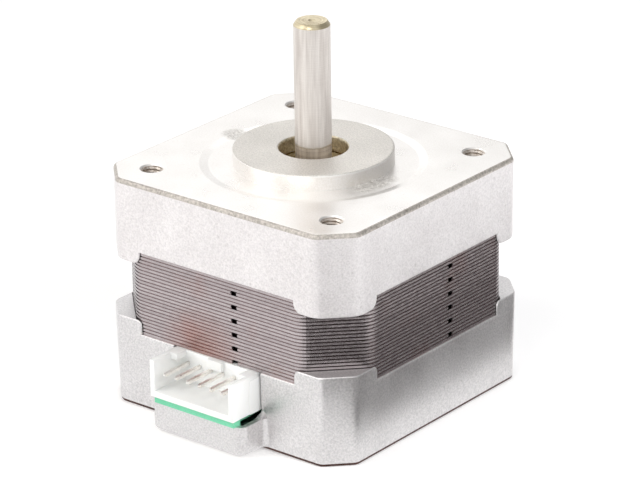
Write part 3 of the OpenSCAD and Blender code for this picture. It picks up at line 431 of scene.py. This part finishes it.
def surface(name, points, finishes, bands=0, close_rows=True, crease=35):
    """A piece from points[row, column] in mm; bands gives each row of faces its finish's number."""
    rows, columns = points.shape[:2]
    index = np.arange(rows * columns).reshape(rows, columns)
    below, beside = np.roll(index, -1, 0), np.roll(index, -1, 1)
    quads = np.stack([index, below, np.roll(below, -1, 1), beside], axis=-1)
    quads = quads[:None if close_rows else -1]
    kind = np.broadcast_to(np.reshape(bands, (-1, 1)), quads.shape[:2])
    mesh = bpy.data.meshes.new(name)
    mesh.vertices.add(points.size // 3)
    mesh.vertices.foreach_set("co", (points * MM).astype(np.float32).ravel())
    mesh.loops.add(quads.size)
    mesh.loops.foreach_set("vertex_index", quads.astype(np.int32).ravel())
    mesh.polygons.add(quads.size // 4)
    mesh.polygons.foreach_set("loop_start", np.arange(0, quads.size, 4, dtype=np.int32))
    mesh.polygons.foreach_set("material_index", kind.astype(np.int32).ravel())
    mesh.update(calc_edges=True)
    weld(mesh)
    for finish in finishes:
        mesh.materials.append(finish)
    soften(mesh, crease)
    return show(name, mesh)


def around(count, extra=()):
    """Angles once round the axis, with some angles added as a pair a hair apart."""
    pairs = [a + step for a in extra for step in (-1e-5, 1e-5)]
    return np.unique(np.concatenate([np.arange(count) * TURN / count, np.mod(pairs, TURN)]))


def lathe(name, outline, finishes, bands=0, count=96, centre=(0, 0), crease=35):
    """A turned piece: each (radius, height) of the closed outline carried once round the centre."""
    outline = np.array(outline, float)
    angle = around(count)
    points = np.stack([
        centre[0] + outline[:, :1] * np.cos(angle), centre[1] + outline[:, :1] * np.sin(angle),
        np.broadcast_to(outline[:, 1:], (len(outline), count))], axis=-1)
    return surface(name, points, finishes, bands, crease=crease)


# %% [markdown]
# Where holes, pockets or a box join a skin, the shapes are combined by Blender's exact Boolean and
# the result is kept as a plain mesh, so nothing is left live.


# %% Cutting and joining
def work_in(piece):
    """Works a piece's modifiers into its mesh, and shades it."""
    ready = piece.evaluated_get(bpy.context.evaluated_depsgraph_get())
    mesh = bpy.data.meshes.new_from_object(ready)
    piece.modifiers.clear()
    piece.data = mesh
    soften(mesh)


def combine(piece, other, operation):
    """Cuts other out of a piece, or joins it on, and keeps the result as the piece's mesh."""
    change = piece.modifiers.new("change", "BOOLEAN")
    change.operation, change.solver, change.object = operation, "EXACT", other
    work_in(piece)
    bpy.data.objects.remove(other)


def joined(name, pieces):
    """Joins several objects into one, as one mesh."""
    work = bmesh.new()
    for piece in pieces:
        work.from_mesh(piece.data)
    mesh = bpy.data.meshes.new(name)
    work.to_mesh(mesh)
    work.free()
    for finish in pieces[0].data.materials:
        mesh.materials.append(finish)
    for piece in pieces:
        bpy.data.objects.remove(piece)
    soften(mesh)
    return show(name, mesh)


# %% [markdown]
# Seen along the axis, both caps and the stack are squares with cut corners whose bends are round.
# That outline is one function: for each angle, how far out the side lies. It is worked out once as
# a fine polygon with arcs at the bends, and every other angle is read off that polygon. The same
# outline moved in by a small amount makes the rounded rims.


# %% The cut-cornered outline
def outline_radius(angle, half, cut, bend, inset=0.0):
    """Distance from the axis to a square of this half width, its corners cut, its bends round."""
    half, cut, bend = half - inset, cut - inset * (2 - math.sqrt(2)), max(bend - inset, 0.02)
    # The arc of a bend turns by an eighth of a turn and starts this far before the corner
    trim = bend * math.tan(math.radians(22.5))
    sweep = np.radians(np.linspace(0, 45, 9))
    low = (half - bend, half - cut - trim)
    first = np.stack([low[0] + bend * np.cos(sweep), low[1] + bend * np.sin(sweep)], -1)
    eighth = np.concatenate([first, first[::-1, ::-1]])
    path = np.concatenate([
        eighth @ np.array([[math.cos(q), math.sin(q)], [-math.sin(q), math.cos(q)]])
        for q in np.arange(4) * TURN / 4])
    at = np.mod(np.arctan2(path[:, 1], path[:, 0]), TURN)
    order = np.argsort(at)
    path = path[order]
    # Between two corners of the polygon the side is straight: cut the ray with that chord
    after = np.searchsorted(at[order], np.mod(angle, TURN)) % len(path)
    p, q = path[after - 1], path[after]
    x, y = np.cos(angle), np.sin(angle)
    side = q - p
    cross = p[:, 0] * side[:, 1] - p[:, 1] * side[:, 0]
    return cross / (x * side[:, 1] - y * side[:, 0])


# Half widths of the caps and the stack, cuts of their corners, and how far a tab reaches along
BODY, FRONT_CUT, REAR_CUT, STACK, STACK_CUT, TAB = 21.15, 4.1, 3.6, 20.9, 6.6, 7.75
tab_angle = math.atan2(BODY - TAB, BODY)
tab_sides = [k * QUARTER + side for k in range(4) for side in (tab_angle, QUARTER - tab_angle)]
columns = around(720, tab_sides)
print("columns round a cap:", len(columns))

# %% [markdown]
# The four corners of each cap reach over the stack as tabs with rounded ends. How far the skin
# reaches at each angle is again a plain function: nothing between the tabs, and inside a tab a
# quarter circle up from its side, then level.


# %% The tabs' reach
def tab_reach(angle, reach, bend):
    """How far the tabs reach past the cap's edge at each angle, with round ends."""
    quarter = np.mod(angle, QUARTER)
    along = BODY * np.tan(np.minimum(np.minimum(quarter, QUARTER - quarter), TURN / 8))
    inside = along - (BODY - TAB)
    rise = reach - bend + np.sqrt(np.maximum(bend ** 2 - np.maximum(bend - inside, 0) ** 2, 0))
    return np.where(inside > 1e-6, rise, 0.0)


def ring_rows(angle, rows):
    """Stacks rows of (radius, height), each a number or a value per angle, into a grid."""
    wide = [np.broadcast_arrays(radius, height, angle)[:2] for radius, height in rows]
    radius, height = (np.array(values, float) for values in zip(*wide))
    return np.stack([radius * np.cos(angle), radius * np.sin(angle), height], axis=-1)


def side_at(shape, inset=0.0):
    """The outline's radius at each column of a cap; a shape is half width, cut and bend."""
    return outline_radius(columns, *shape, inset)


reach = tab_reach(columns, 1.7, 1.3)
print("front tabs reach", round(reach.max(), 2), "mm")

# %% [markdown]
# The front cap is one casting. Its skin is a closed loop carried round the axis: up the bearing
# seat and the pilot's bore, over the pilot, across the turned ring and the milled face, over the
# rough bevel, down the side to the tabs, and back inside. The outer rows follow the cut-cornered
# outline and the inner rows are circles, which a grid takes without any joins. The faces' finishes
# change from row to row. Rows close to a bevel keep the flat beside it flat when it is shaded.

# %% Front cap
front_shape, face_shape = (BODY, FRONT_CUT, 2.8), (BODY, FRONT_CUT, 1.5)
# Heights of the cap's foot, its inner floor, the seat's mouth, the ring's floor, the pilot's top
FRONT_FOOT, INNER_FLOOR, SEAT_MOUTH, RING_FLOOR, PILOT_TOP = -10.0, -3.6, -5.2, -0.2, 2.0
# Radii of the bearing's seat, the bore, the pilot, the wall's inside and the hub
SEAT_R, BORE_R, PILOT_R, WALL_R, HUB_R = 8.01, 4.7, 11.0, 19.6, 9.8
foot = FRONT_FOOT - reach
stack_side = outline_radius(columns, STACK, STACK_CUT, 0.3, -0.08)
bore_rows = [
    (SEAT_R, SEAT_MOUTH), (SEAT_R, RING_FLOOR), (BORE_R, RING_FLOOR), (BORE_R, 1.6),
    (BORE_R, 1.7), (4.76, 1.86), (4.84, 1.95), (4.95, PILOT_TOP)]
pilot_rows = [
    (5.05, PILOT_TOP), (10.65, PILOT_TOP), (10.75, PILOT_TOP), (10.89, 1.96), (10.97, 1.87),
    (PILOT_R, 1.75), (PILOT_R, 1.65), (PILOT_R, -0.1), (PILOT_R, -0.17), (11.03, RING_FLOOR)]
slope_rows = [
    (11.1, RING_FLOOR), (14.2, RING_FLOOR), (14.26, RING_FLOOR), (14.34, -0.193),
    (14.42, -0.18), (15.38, -0.02), (15.46, -0.007), (15.54, 0.0), (15.6, 0.0)]
face_rows = [(side_at(face_shape, inset), 0.0) for inset in (1.2, 0.52)]
RIM_INSET, RIM_DROP = 0.4, -0.58
rim_rows = [(side_at(face_shape, RIM_INSET * (1 - math.sin(s))), RIM_DROP * (1 - math.cos(s)))
            for s in np.linspace(0, QUARTER, 5)]
side_rows = [
    (side_at(face_shape), -0.75), (side_at((BODY, FRONT_CUT, 2.2)), -1.6),
    (side_at(front_shape), -3.0), (side_at(front_shape), foot + 0.35),
    (side_at(front_shape), foot + 0.25), (side_at(front_shape, 0.04), foot + 0.06),
    (np.maximum(side_at(front_shape, 0.14), stack_side), foot), (stack_side, foot)]
inner_rows = [
    (stack_side, FRONT_FOOT), (WALL_R, FRONT_FOOT), (WALL_R, INNER_FLOOR), (HUB_R, INNER_FLOOR),
    (HUB_R, SEAT_MOUTH)]
parts = [bore_rows, pilot_rows, slope_rows, face_rows, rim_rows, side_rows, inner_rows]
ends = np.cumsum([len(part) for part in parts])
bands = np.zeros(ends[-1], int)
bands[1:6] = 4  # oily bore
bands[6:12] = 2  # blasted top of the pilot
bands[12:ends[3]] = 1  # the pilot's side, the ring and the face, milled
bands[ends[3]:ends[4] - 1] = 3  # bevel
front_finishes = [cast_front, milled_face, blasted_boss, milled_rim, oily_bore]
front_cap = surface(
    "front_cap_casting", ring_rows(columns, sum(parts, [])), front_finishes, bands)
print("front cap:", len(front_cap.data.polygons), "faces")

# %% [markdown]
# The four holes are drilled through each corner, countersunk and threaded. The drill is a turned
# cutter; the thread is its own sleeve, whose inner wall follows the helix: the radius rises and
# falls once for each pitch along the axis, and the wave moves up by one pitch in one turn.

# %% Holes and threads
HOLE_AT = 15.5
HOLE_PLACES = [(x, y) for x in (-HOLE_AT, HOLE_AT) for y in (-HOLE_AT, HOLE_AT)]


def drill_holes(cap, outline, finish):
    """Cuts the same turned tool out of a cap at each of the four holes."""
    tools = [lathe("tool", outline, [finish], count=48, centre=place) for place in HOLE_PLACES]
    combine(cap, joined("tools", tools), "DIFFERENCE")


drill_holes(front_cap, [(0, -13), (1.51, -13), (1.51, -0.2), (1.56, -0.14), (2.9, 1.2), (0, 1.2)],
            milled_face)

PITCH, CREST, THREAD_DEPTH, SLEEVE = 0.5, 1.27, 0.22, 1.505
turn_angle, along = around(48), np.arange(-5.2, -0.24, PITCH / 8)
wave = np.mod(along[:, None] / PITCH - turn_angle / TURN, 1.0)
inner = CREST + THREAD_DEPTH * np.minimum(np.abs(2 * wave - 1) * 1.25, 1.0)
wall = np.concatenate([inner, np.full((2, len(turn_angle)), SLEEVE)])
height = np.concatenate([along, [along[-1], along[0]]])[:, None] + np.zeros_like(wall)
threads = []
for x, y in HOLE_PLACES:
    points = np.stack([x + wall * np.cos(turn_angle), y + wall * np.sin(turn_angle), height], -1)
    threads.append(surface("thread", points, [cut_thread], crease=50))
threads = joined("hole_threads", threads)
print("front cap with holes:", len(front_cap.data.polygons), "threads:", len(threads.data.polygons))

# %% [markdown]
# The rear cap is a second casting with a smoother skin and a slight draft. Its loop goes round the
# same way, and its lowest rows are painted dark as its contact shadow where it stands.

# %% Rear cap
rear_shape = (BODY, REAR_CUT, 1.6)
REAR_TOP, REAR_FOOT, REAR_FLOOR, REAR_SEAT = -22.0, -33.0, -30.2, -26.4
post_top = REAR_TOP + tab_reach(columns, 2.0, 0.7)
DRAFT, FOOT_RIM = 0.25, 0.3
foot_rows = [(side_at(rear_shape, DRAFT + FOOT_RIM * (1 - math.cos(s))),
              REAR_FOOT + FOOT_RIM * (1 - math.sin(s))) for s in np.linspace(QUARTER, 0, 5)]
rear_rows = [
    (SEAT_R, REAR_SEAT), (SEAT_R, -31.8), (4.5, -31.8), (4.5, -32.85), (4.65, REAR_FOOT),
    (17.5, REAR_FOOT), *foot_rows,
    (side_at(rear_shape, 0.247), -32.58), (side_at(rear_shape, 0.244), -32.5),
    (side_at(rear_shape, 0.01), -22.6), (side_at(rear_shape), -22.3),
    (side_at(rear_shape), post_top - 0.2), (side_at(rear_shape), post_top - 0.12),
    (np.maximum(side_at(rear_shape, 0.1), stack_side), post_top), (stack_side, post_top),
    (stack_side, REAR_TOP), (WALL_R, REAR_TOP), (WALL_R, -28.4), (18.6, -28.4),
    (18.6, REAR_FLOOR), (HUB_R, REAR_FLOOR), (HUB_R, REAR_SEAT)]
rear_bands = np.zeros(len(rear_rows), int)
rear_bands[6:11] = 1  # the foot, painted dark as its contact shadow
rear_cap = surface(
    "rear_cap_casting", ring_rows(columns, rear_rows), [cast_rear, painted_foot_shadow], rear_bands)
print("rear cap:", len(rear_cap.data.polygons), "faces")

# %% [markdown]
# The connector bay is a box on one side whose lower rim is round; its outline in plan flares into
# the cap's side, as a cast root does. The bay is joined on, with a rail at each end of its wall
# that sweeps up into the cap. Then the board's window, the hollow under the board and the
# counterbores for the screws are cut.


# %% Connector bay
def arc(centre, radius, start, end, steps=9):
    """Points on an arc about a centre, from one angle to another in degrees."""
    angle = np.radians(np.linspace(start, end, steps))
    return np.stack([centre[0] + radius * np.cos(angle), centre[1] + radius * np.sin(angle)], -1)


def prism(name, plan, levels, finish, middle):
    """A closed plan lofted through (height, inset) levels; both ends close on a middle."""
    loops = [np.column_stack([plan(inset), np.full(len(plan(inset)), z)]) for z, inset in levels]
    count = len(loops[0])
    ends = [np.tile([*middle, z], (count, 1)) for z in (levels[0][0], levels[-1][0])]
    return surface(name, np.stack([ends[0], *loops, ends[1]]), [finish], close_rows=False)


def bar(name, outline, start, end, axis, finishes, middle):
    """A closed upright outline carried along x (axis 0) or y (axis 1); ends close on a middle."""
    flat = np.tile(middle, (len(outline), 1))
    loops = [(flat, start), (outline, start), (outline, end), (flat, end)]
    points = np.stack([np.insert(loop, axis, at, axis=1) for loop, at in loops])
    return surface(name, points, finishes, close_rows=False)


def bay_plan(inset):
    """The bay seen from below: root, flare, side, round front corner, then the mirror of these."""
    half = np.concatenate([
        [[9.3, -18.0], [8.95, -20.6]], arc((8.95, -21.8), 0.9, 90, 180) + [-inset * 0.7, 0],
        arc((6.75, -24.35), 1.3 - inset, 0, -90)])
    return np.concatenate([half, half[::-1] * [-1, 1]])


def pocket_plan(_):
    """The hollow under the board, a plain rectangle."""
    return np.array([[-7.3, -24.65], [7.3, -24.65], [7.3, -16.6], [-7.3, -16.6]])


BAY_FOOT, BAY_RIM = -32.6, 0.55
bay_levels = [(BAY_FOOT + BAY_RIM * (1 - math.sin(s)), BAY_RIM * (1 - math.cos(s)))
              for s in np.linspace(QUARTER, 0, 5)]
bay = prism("bay", bay_plan, bay_levels + [(-28.4, 0.0)], cast_rear, (0, -21.4))
combine(rear_cap, bay, "UNION")
rail_outline = np.concatenate([
    [[-22.7, -29.2], [-22.7, -28.4]], arc((-22.5, -26.8), 1.6, -90, 0, 12),
    [[-20.0, -26.8], [-20.0, -29.2]]])
for side in (-1, 1):
    rail = bar("rail", rail_outline, side * 7.3, side * 8.05, 0, [cast_rear, painted_foot_shadow],
               (-21.0, -28.6))
    combine(rear_cap, rail, "UNION")
window_outline = np.concatenate([
    arc((-6.5, -27.3), 1.1, 180, 270), arc((6.5, -27.3), 1.1, 270, 360),
    [[7.6, -20.0], [-7.6, -20.0]]])
window = bar("window", window_outline, -28.4, -16.6, 1, [cast_rear], window_outline.mean(0))
pocket = prism("pocket", pocket_plan, [(REAR_FLOOR, 0), (-28.3, 0)], cast_rear, (0, -20))
combine(rear_cap, window, "DIFFERENCE")
combine(rear_cap, pocket, "DIFFERENCE")
drill_holes(rear_cap, [(0, -34), (3.0, -34), (3.0, -30.5), (1.6, -30.5), (1.6, -19), (0, -19)],
            cast_rear)
print("rear cap with its bay:", len(rear_cap.data.polygons), "faces")

# %% [markdown]
# The shaft is ground steel. Its outline is turned once round: a chamfered end with a small centre
# dimple, a long plain length with two faint rings, and a relief groove that starts at the bearing.

# %% Shaft
shaft_outline = [
    (0, -31.6), (2.19, -31.6), (2.49, -31.3), (2.49, -0.05), (2.46, 0.0), (2.46, 2.45),
    (2.47, 2.51), (2.5, 2.55), (2.5, 2.68), (2.5, 2.75), (2.5, 15.55), (2.5, 15.6),
    (2.492, 15.62), (2.492, 15.66), (2.5, 15.68), (2.5, 15.73), (2.5, 17.41), (2.5, 17.46),
    (2.492, 17.48), (2.492, 17.52), (2.5, 17.54), (2.5, 17.6), (2.5, 19.3), (2.5, 19.38),
    (2.485, 19.43), (2.12, 19.96), (2.05, 20.0), (1.98, 20.0), (0.6, 20.0), (0.52, 20.0),
    (0.46, 19.96), (0.06, 19.5), (0, 19.5)]
shaft_height = np.array([height for _, height in shaft_outline])
# Below 2.55 mm the relief, then its edge, painted bright as a highlight with the milled
# face's finish, and above 19.37 mm the chamfered end
shaft_bands = np.select(
    [shaft_height < 2.55, shaft_height < 2.68, shaft_height > 19.37], [2, 3, 1], 0)
shaft_finishes = [ground_shaft, chamfer_steel, relief_steel, milled_face]
shaft = lathe("ground_shaft", shaft_outline, shaft_finishes, shaft_bands, count=128, crease=28)
print("shaft:", len(shaft.data.polygons), "faces")

# %% [markdown]
# The header's pins are square wire, bent once. A square with small corner flats is carried along
# a path: straight out, round the bend, and down through the board. The tip is drawn in to a blunt
# point, as the cutter leaves it.

# %% Pins
BEND, HALF_WIRE, PIN_STEP, PIN_COUNT = 0.7, 0.25, 2, 6
PIN_OUT, PIN_LEG, PIN_LEVEL, PIN_FOOT = -26.15, -20.4, -23.9, -29.3
degrees = np.linspace(90, 0, 8)
swing = np.radians(degrees)
path = np.concatenate([
    [[PIN_OUT, PIN_LEVEL], [PIN_OUT, PIN_LEVEL], [PIN_OUT + 0.25, PIN_LEVEL]],
    np.stack([PIN_LEG - BEND + BEND * np.cos(swing), PIN_LEVEL - BEND + BEND * np.sin(swing)], -1),
    [[PIN_LEG, PIN_FOOT + 0.2], [PIN_LEG, PIN_FOOT], [PIN_LEG, PIN_FOOT]]])
thick = np.array([0, 0.14, HALF_WIRE] + [HALF_WIRE] * 8 + [HALF_WIRE, 0.15, 0])[:, None]
lean = np.radians([90] * 3 + [*degrees] + [0] * 3)[:, None]
corner = np.array([[1, 0.8], [0.8, 1], [-0.8, 1], [-1, 0.8], [-1, -0.8], [-0.8, -1],
                   [0.8, -1], [1, -0.8]])
side, out = thick * corner[:, 0], thick * corner[:, 1]
pins = []
for k in range(PIN_COUNT):
    across = (k - (PIN_COUNT - 1) / 2) * PIN_STEP + side
    points = [across, path[:, :1] + out * np.cos(lean), path[:, 1:] + out * np.sin(lean)]
    pins.append(surface("pin", np.stack(points, -1), [tinned_brass], close_rows=False, crease=30))
pins = joined("bent_pins", pins)
print("pins:", len(pins.data.polygons), "faces")

# %% [markdown]
# The header housing is a thin moulded box. Its shape is right in the CAD, and a mould rounds every
# edge a little, so a merged copy with a narrow bevel is the honest and quick way here.


# %% Header housing
def softened_copy(node, name, width, finish):
    """A merged copy of a CAD node with a bevel of this width in mm on its sharp edges."""
    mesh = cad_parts[node].data.copy()
    mesh.name = name
    mesh.materials.clear()
    weld(mesh, 1e-6)
    work = bmesh.new()
    work.from_mesh(mesh)
    bmesh.ops.dissolve_limit(
        work, angle_limit=math.radians(1), verts=work.verts, edges=work.edges)
    work.to_mesh(mesh)
    work.free()
    mesh.materials.append(finish)
    piece = show(name, mesh)
    soft = piece.modifiers.new("soft_edges", "BEVEL")
    soft.width, soft.segments = width * MM, 2
    soft.limit_method, soft.angle_limit = "ANGLE", math.radians(30)
    work_in(piece)
    return piece


housing = softened_copy("header_housing", "moulded_header", 0.09, header_nylon)
print("header:", len(housing.data.polygons), "faces")

# %% [markdown]
# The coils are hidden once the motor is shut, but the part can be opened. Each is enamelled wire
# wound round a tooth: a rounded rectangle carried round the tooth, whose section is a block with
# the half-round bumps of the outer turns.


# %% Coils
def rounded_loop(half_w, half_h, bend, steps=8):
    """A rounded rectangle as points and outward normals, in the plane across the tooth."""
    pieces, normals = [], []
    for quarter, (sx, sy) in enumerate([(1, 1), (-1, 1), (-1, -1), (1, -1)]):
        angle = np.radians(np.linspace(0, 90, steps) + 90 * quarter)
        out = np.stack([np.cos(angle), np.sin(angle)], -1)
        pieces.append(np.array([sx * (half_w - bend), sy * (half_h - bend)]) + bend * out)
        normals.append(out)
    return np.concatenate(pieces), np.concatenate(normals)


HALF_STACK, INSULATOR, WIRES, WIRE_BUMP, COIL_COUNT = 6.0, 0.81, 5, 0.2, 8
low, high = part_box("coil_1")
inner_r, outer_r = low.x / MM, high.x / MM
coil_w, coil_top, coil_foot = high.y / MM, high.z / MM, low.z / MM
mid = (coil_top + coil_foot) / 2
coil_t = coil_top - mid - (HALF_STACK + INSULATOR)
loop, out = rounded_loop(coil_w - coil_t / 2, coil_top - mid - coil_t / 2, 0.8 + coil_t / 2)
phase = np.linspace(0, np.pi * WIRES, 6 * WIRES)
outer_turns = coil_t / 2 - 0.22 + WIRE_BUMP * np.abs(np.sin(phase))
section_r = np.concatenate([np.linspace(inner_r + 0.02, outer_r - 0.02, len(phase)),
                            [outer_r - 0.02, inner_r + 0.02]])[:, None]
section_t = np.concatenate([outer_turns, [0.05 - coil_t / 2] * 2])[:, None]
across = loop[None, :, 0] + section_t * out[None, :, 0]
up = mid + loop[None, :, 1] + section_t * out[None, :, 1]
for k in range(COIL_COUNT):
    turn = k * TURN / COIL_COUNT
    points = np.stack([section_r * np.cos(turn) - across * np.sin(turn),
                       section_r * np.sin(turn) + across * np.cos(turn), up], -1)
    wound = surface(f"wound_coil_{k + 1}", points, [enamel_wire], crease=50)
    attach(wound, "housing")
    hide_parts(f"coil_{k + 1}")
print("coil section", round(outer_r - inner_r, 2), "by", round(coil_t, 2), "mm")

# %% [markdown]
# The other pieces have the right shape in the CAD and keep it. Each gets the finish of its kind.

# %% Finishes of the CAD nodes
NODE_FINISHES = {
    "stator_core": lamination, "circuit_board": solder_mask, "assembly_screws": screw_steel,
    "wave_washer": spring_steel, "winding_terminals": tinned_brass, "rotor_magnet": magnet_alloy}
for end in ("front", "rear"):
    NODE_FINISHES |= {
        f"{end}_insulator": insulator_nylon, f"{end}_rotor_cup": rotor_steel,
        f"{end}_sleeve": sleeve_brass, f"{end}_bearing_outer_ring": bearing_ring,
        f"{end}_bearing_inner_ring": bearing_ring, f"{end}_bearing_shields": bearing_shield,
        f"{end}_bearing_balls": ball_steel, f"{end}_bearing_cage": sleeve_brass}
for node, finish in NODE_FINISHES.items():
    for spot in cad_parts[node].material_slots:
        spot.material = finish
print("CAD nodes given a finish:", len(NODE_FINISHES))

# %% [markdown]
# Each new piece rides on the body whose motion it follows and stands for the CAD node that it
# replaces. The threads stand for no node: they line the holes of the front cap.

# %% What each piece rides on and stands for
PIECES = (
    (front_cap, "housing", "front_end_cap", "cast_aluminium"),
    (threads, "housing", None, "cast_aluminium"),
    (rear_cap, "housing", "rear_end_cap", "cast_aluminium"),
    (shaft, "rotor", "shaft", "shaft_steel"),
    (pins, "housing", "header_pins", "tinned_brass"),
    (housing, "housing", "header_housing", "header_nylon"))
for piece, body, node, material_slot in PIECES:
    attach(piece, body)
    if node:
        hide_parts(node)
print("pieces:", [piece.name for piece, *_ in PIECES])

# %% [markdown]
# The photograph has soft light from above and the left, and a white ground that melts into a white
# background. The floor is a plain pale sheet that keeps a soft shadow. To the camera it is lifted
# by a little light of its own, and in a mirror it is mixed with an even white.

# %% Floor
FLOOR, FLOOR_HALF = -33.02, 900
CAMERA_LIFT, MIRROR_SHARE, MIRROR_WHITE = 0.25, 0.75, 1.18


def flat_sheet(name, corners, finish):
    """A flat sheet through these corners in mm."""
    mesh = bpy.data.meshes.new(name)
    mesh.from_pydata([tuple(np.array(c) * MM) for c in corners], [], [range(len(corners))])
    mesh.materials.append(finish)
    return show(name, mesh)


floor_finish, tree, shader, _ = start_finish("matt_white_paper", Roughness=0.9)
ray = add(tree, "LightPath")
mirrored = add(tree, "Math", {
    0: ray.outputs["Is Glossy Ray"], 1: ray.outputs["Is Transmission Ray"]}, operation="MAXIMUM")
lift = add(tree, "Math", {0: ray.outputs["Is Camera Ray"], 1: CAMERA_LIFT}, operation="MULTIPLY")
wire(tree, shader, {
    "Base Color": "#F4F3F2", "Emission Color": (1, 1, 1, 1), "Emission Strength": lift})
share = add(tree, "Math", {0: mirrored, 1: MIRROR_SHARE}, operation="MULTIPLY")
even = add(tree, "Emission", {"Strength": MIRROR_WHITE})
seen_floor = add(tree, "MixShader", {0: share, 1: shader, 2: even})
wire(tree, tree.nodes["Material Output"], {"Surface": seen_floor})
extent = [(x * FLOOR_HALF, y * FLOOR_HALF, FLOOR) for x, y in ((-1, -1), (1, -1), (1, 1), (-1, 1))]
floor = flat_sheet("floor", extent, floor_finish)
floor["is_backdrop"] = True
print("floor at", FLOOR, "mm")

# %% [markdown]
# The world lights the motor with a weak, even blue-white. The camera and the metal's mirror see
# a white room instead: brightest to the left of the camera, darkest to the right of the motor,
# and dimmer overhead.

# %% World
world = bpy.data.worlds.new("studio")
bpy.context.scene.world = world
world.use_nodes = True
tree = world.node_tree
tree.nodes.clear()
BRIGHT_SIDE = (-0.554, -0.832, 0.0)
ray = add(tree, "LightPath")
seen = add(tree, "Math", {
    0: ray.outputs["Is Camera Ray"], 1: ray.outputs["Is Glossy Ray"]}, operation="MAXIMUM")
seen_through = add(tree, "Math", {
    0: seen, 1: ray.outputs["Is Transmission Ray"]}, operation="MAXIMUM")
soft = add(tree, "Background", {"Color": "#F2F4F8", "Strength": 0.45})
heading = add(tree, "TexCoord").outputs["Generated"]
rise = add(tree, "SeparateXYZ", {"Vector": heading})
dim = add(tree, "MapRange", {
    "Value": rise.outputs["Z"], "From Min": 0.38, "From Max": 0.75, "To Min": 1.0,
    "To Max": 0.7}, interpolation_type="SMOOTHSTEP")
across = add(tree, "VectorMath", {0: heading, 1: BRIGHT_SIDE}, operation="DOT_PRODUCT")
fade = add(tree, "MapRange", {
    "Value": across, "From Min": -0.743, "From Max": -0.097, "To Min": 0.47, "To Max": 1.2})
room = add(tree, "Math", {0: dim, 1: fade}, operation="MULTIPLY")
white = add(tree, "Background", {"Color": (1, 1, 1, 1), "Strength": room})
mixed = add(tree, "MixShader", {0: seen_through, 1: soft, 2: white})
add(tree, "OutputWorld", {0: mixed})
print("world:", world.name)

# %% [markdown]
# The lamps are large and square, as softboxes are. Three of them light what scatters light but
# are left out of the metal's reflections, where their squares would blow out.


# %% Lamps
def lamp(name, place, aim, size, power, tint="#FFFFFF", mirrored=True):
    """A square area lamp at a place, facing its aim; lengths in mm, power in watts."""
    data = bpy.data.lights.new(name, "AREA")
    data.shape, data.size, data.energy = "SQUARE", size * MM, power
    data.color = linear(tint)[:3]
    made = show(name, data)
    made.location = Vector(place) * MM
    made.rotation_euler = (Vector(aim) - Vector(place)).to_track_quat("-Z", "Y").to_euler()
    made.visible_glossy, made.visible_camera = mirrored, False


lamp("key", (-240, -300, 330), (0, 0, -8), 240, 0.28, "#FFFCF8")
lamp("key_veil", (-240, -300, 330), (0, 0, -8), 240, 0.64, "#FFFCF8", mirrored=False)
lamp("low_left", (-180, -270, 10), (0, -10, -12), 140, 0.3, "#FFFDFA", mirrored=False)
lamp("right_veil", (300, 40, 150), (0, 0, -5), 200, 0.75, mirrored=False)
lamp("front", (60, -190, 200), (12, -16, 0), 90, 0.1, "#FFFDF8")
lamp("overhead", (-60, 220, 420), (0, 0, 0), 300, 0.2)
lamp("back_panel", (-100, 124, 160), (12, -12, 0), 90, 0.024)
print("lamps:", [light.name for light in bpy.data.lights])

# %% [markdown]
# On the right of the motor the photograph's metal mirrors something dark. A dark card that lies
# just over the floor, seen by nothing but those reflections, paints that dark reflection in.

# %% Dark card
# A painted dark reflection: a card that only the metal's mirror sees
card_finish, tree, shader, _ = start_finish("dark_card", Roughness=0.9)
wire(tree, shader, {"Base Color": "#353130"})
CARD_LIFT = 0.3
CARD_PLAN = [(27, -8), (31, -27), (36, -72), (76, -72), (70, -34), (60, -20), (60, 72), (27, 72)]
card = flat_sheet("floor_card", [(x, y, FLOOR + CARD_LIFT) for x, y in CARD_PLAN], card_finish)
card.visible_camera = card.visible_diffuse = False
card.visible_shadow = card.visible_transmission = False
card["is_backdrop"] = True
print("card corners:", len(CARD_PLAN))

# %% [markdown]
# Last, the box round everything that shows is printed, in millimetres.

# %% The last lines
low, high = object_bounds()
print("visual box in mm:", [round(v / MM, 2) for v in (*low, *high)])
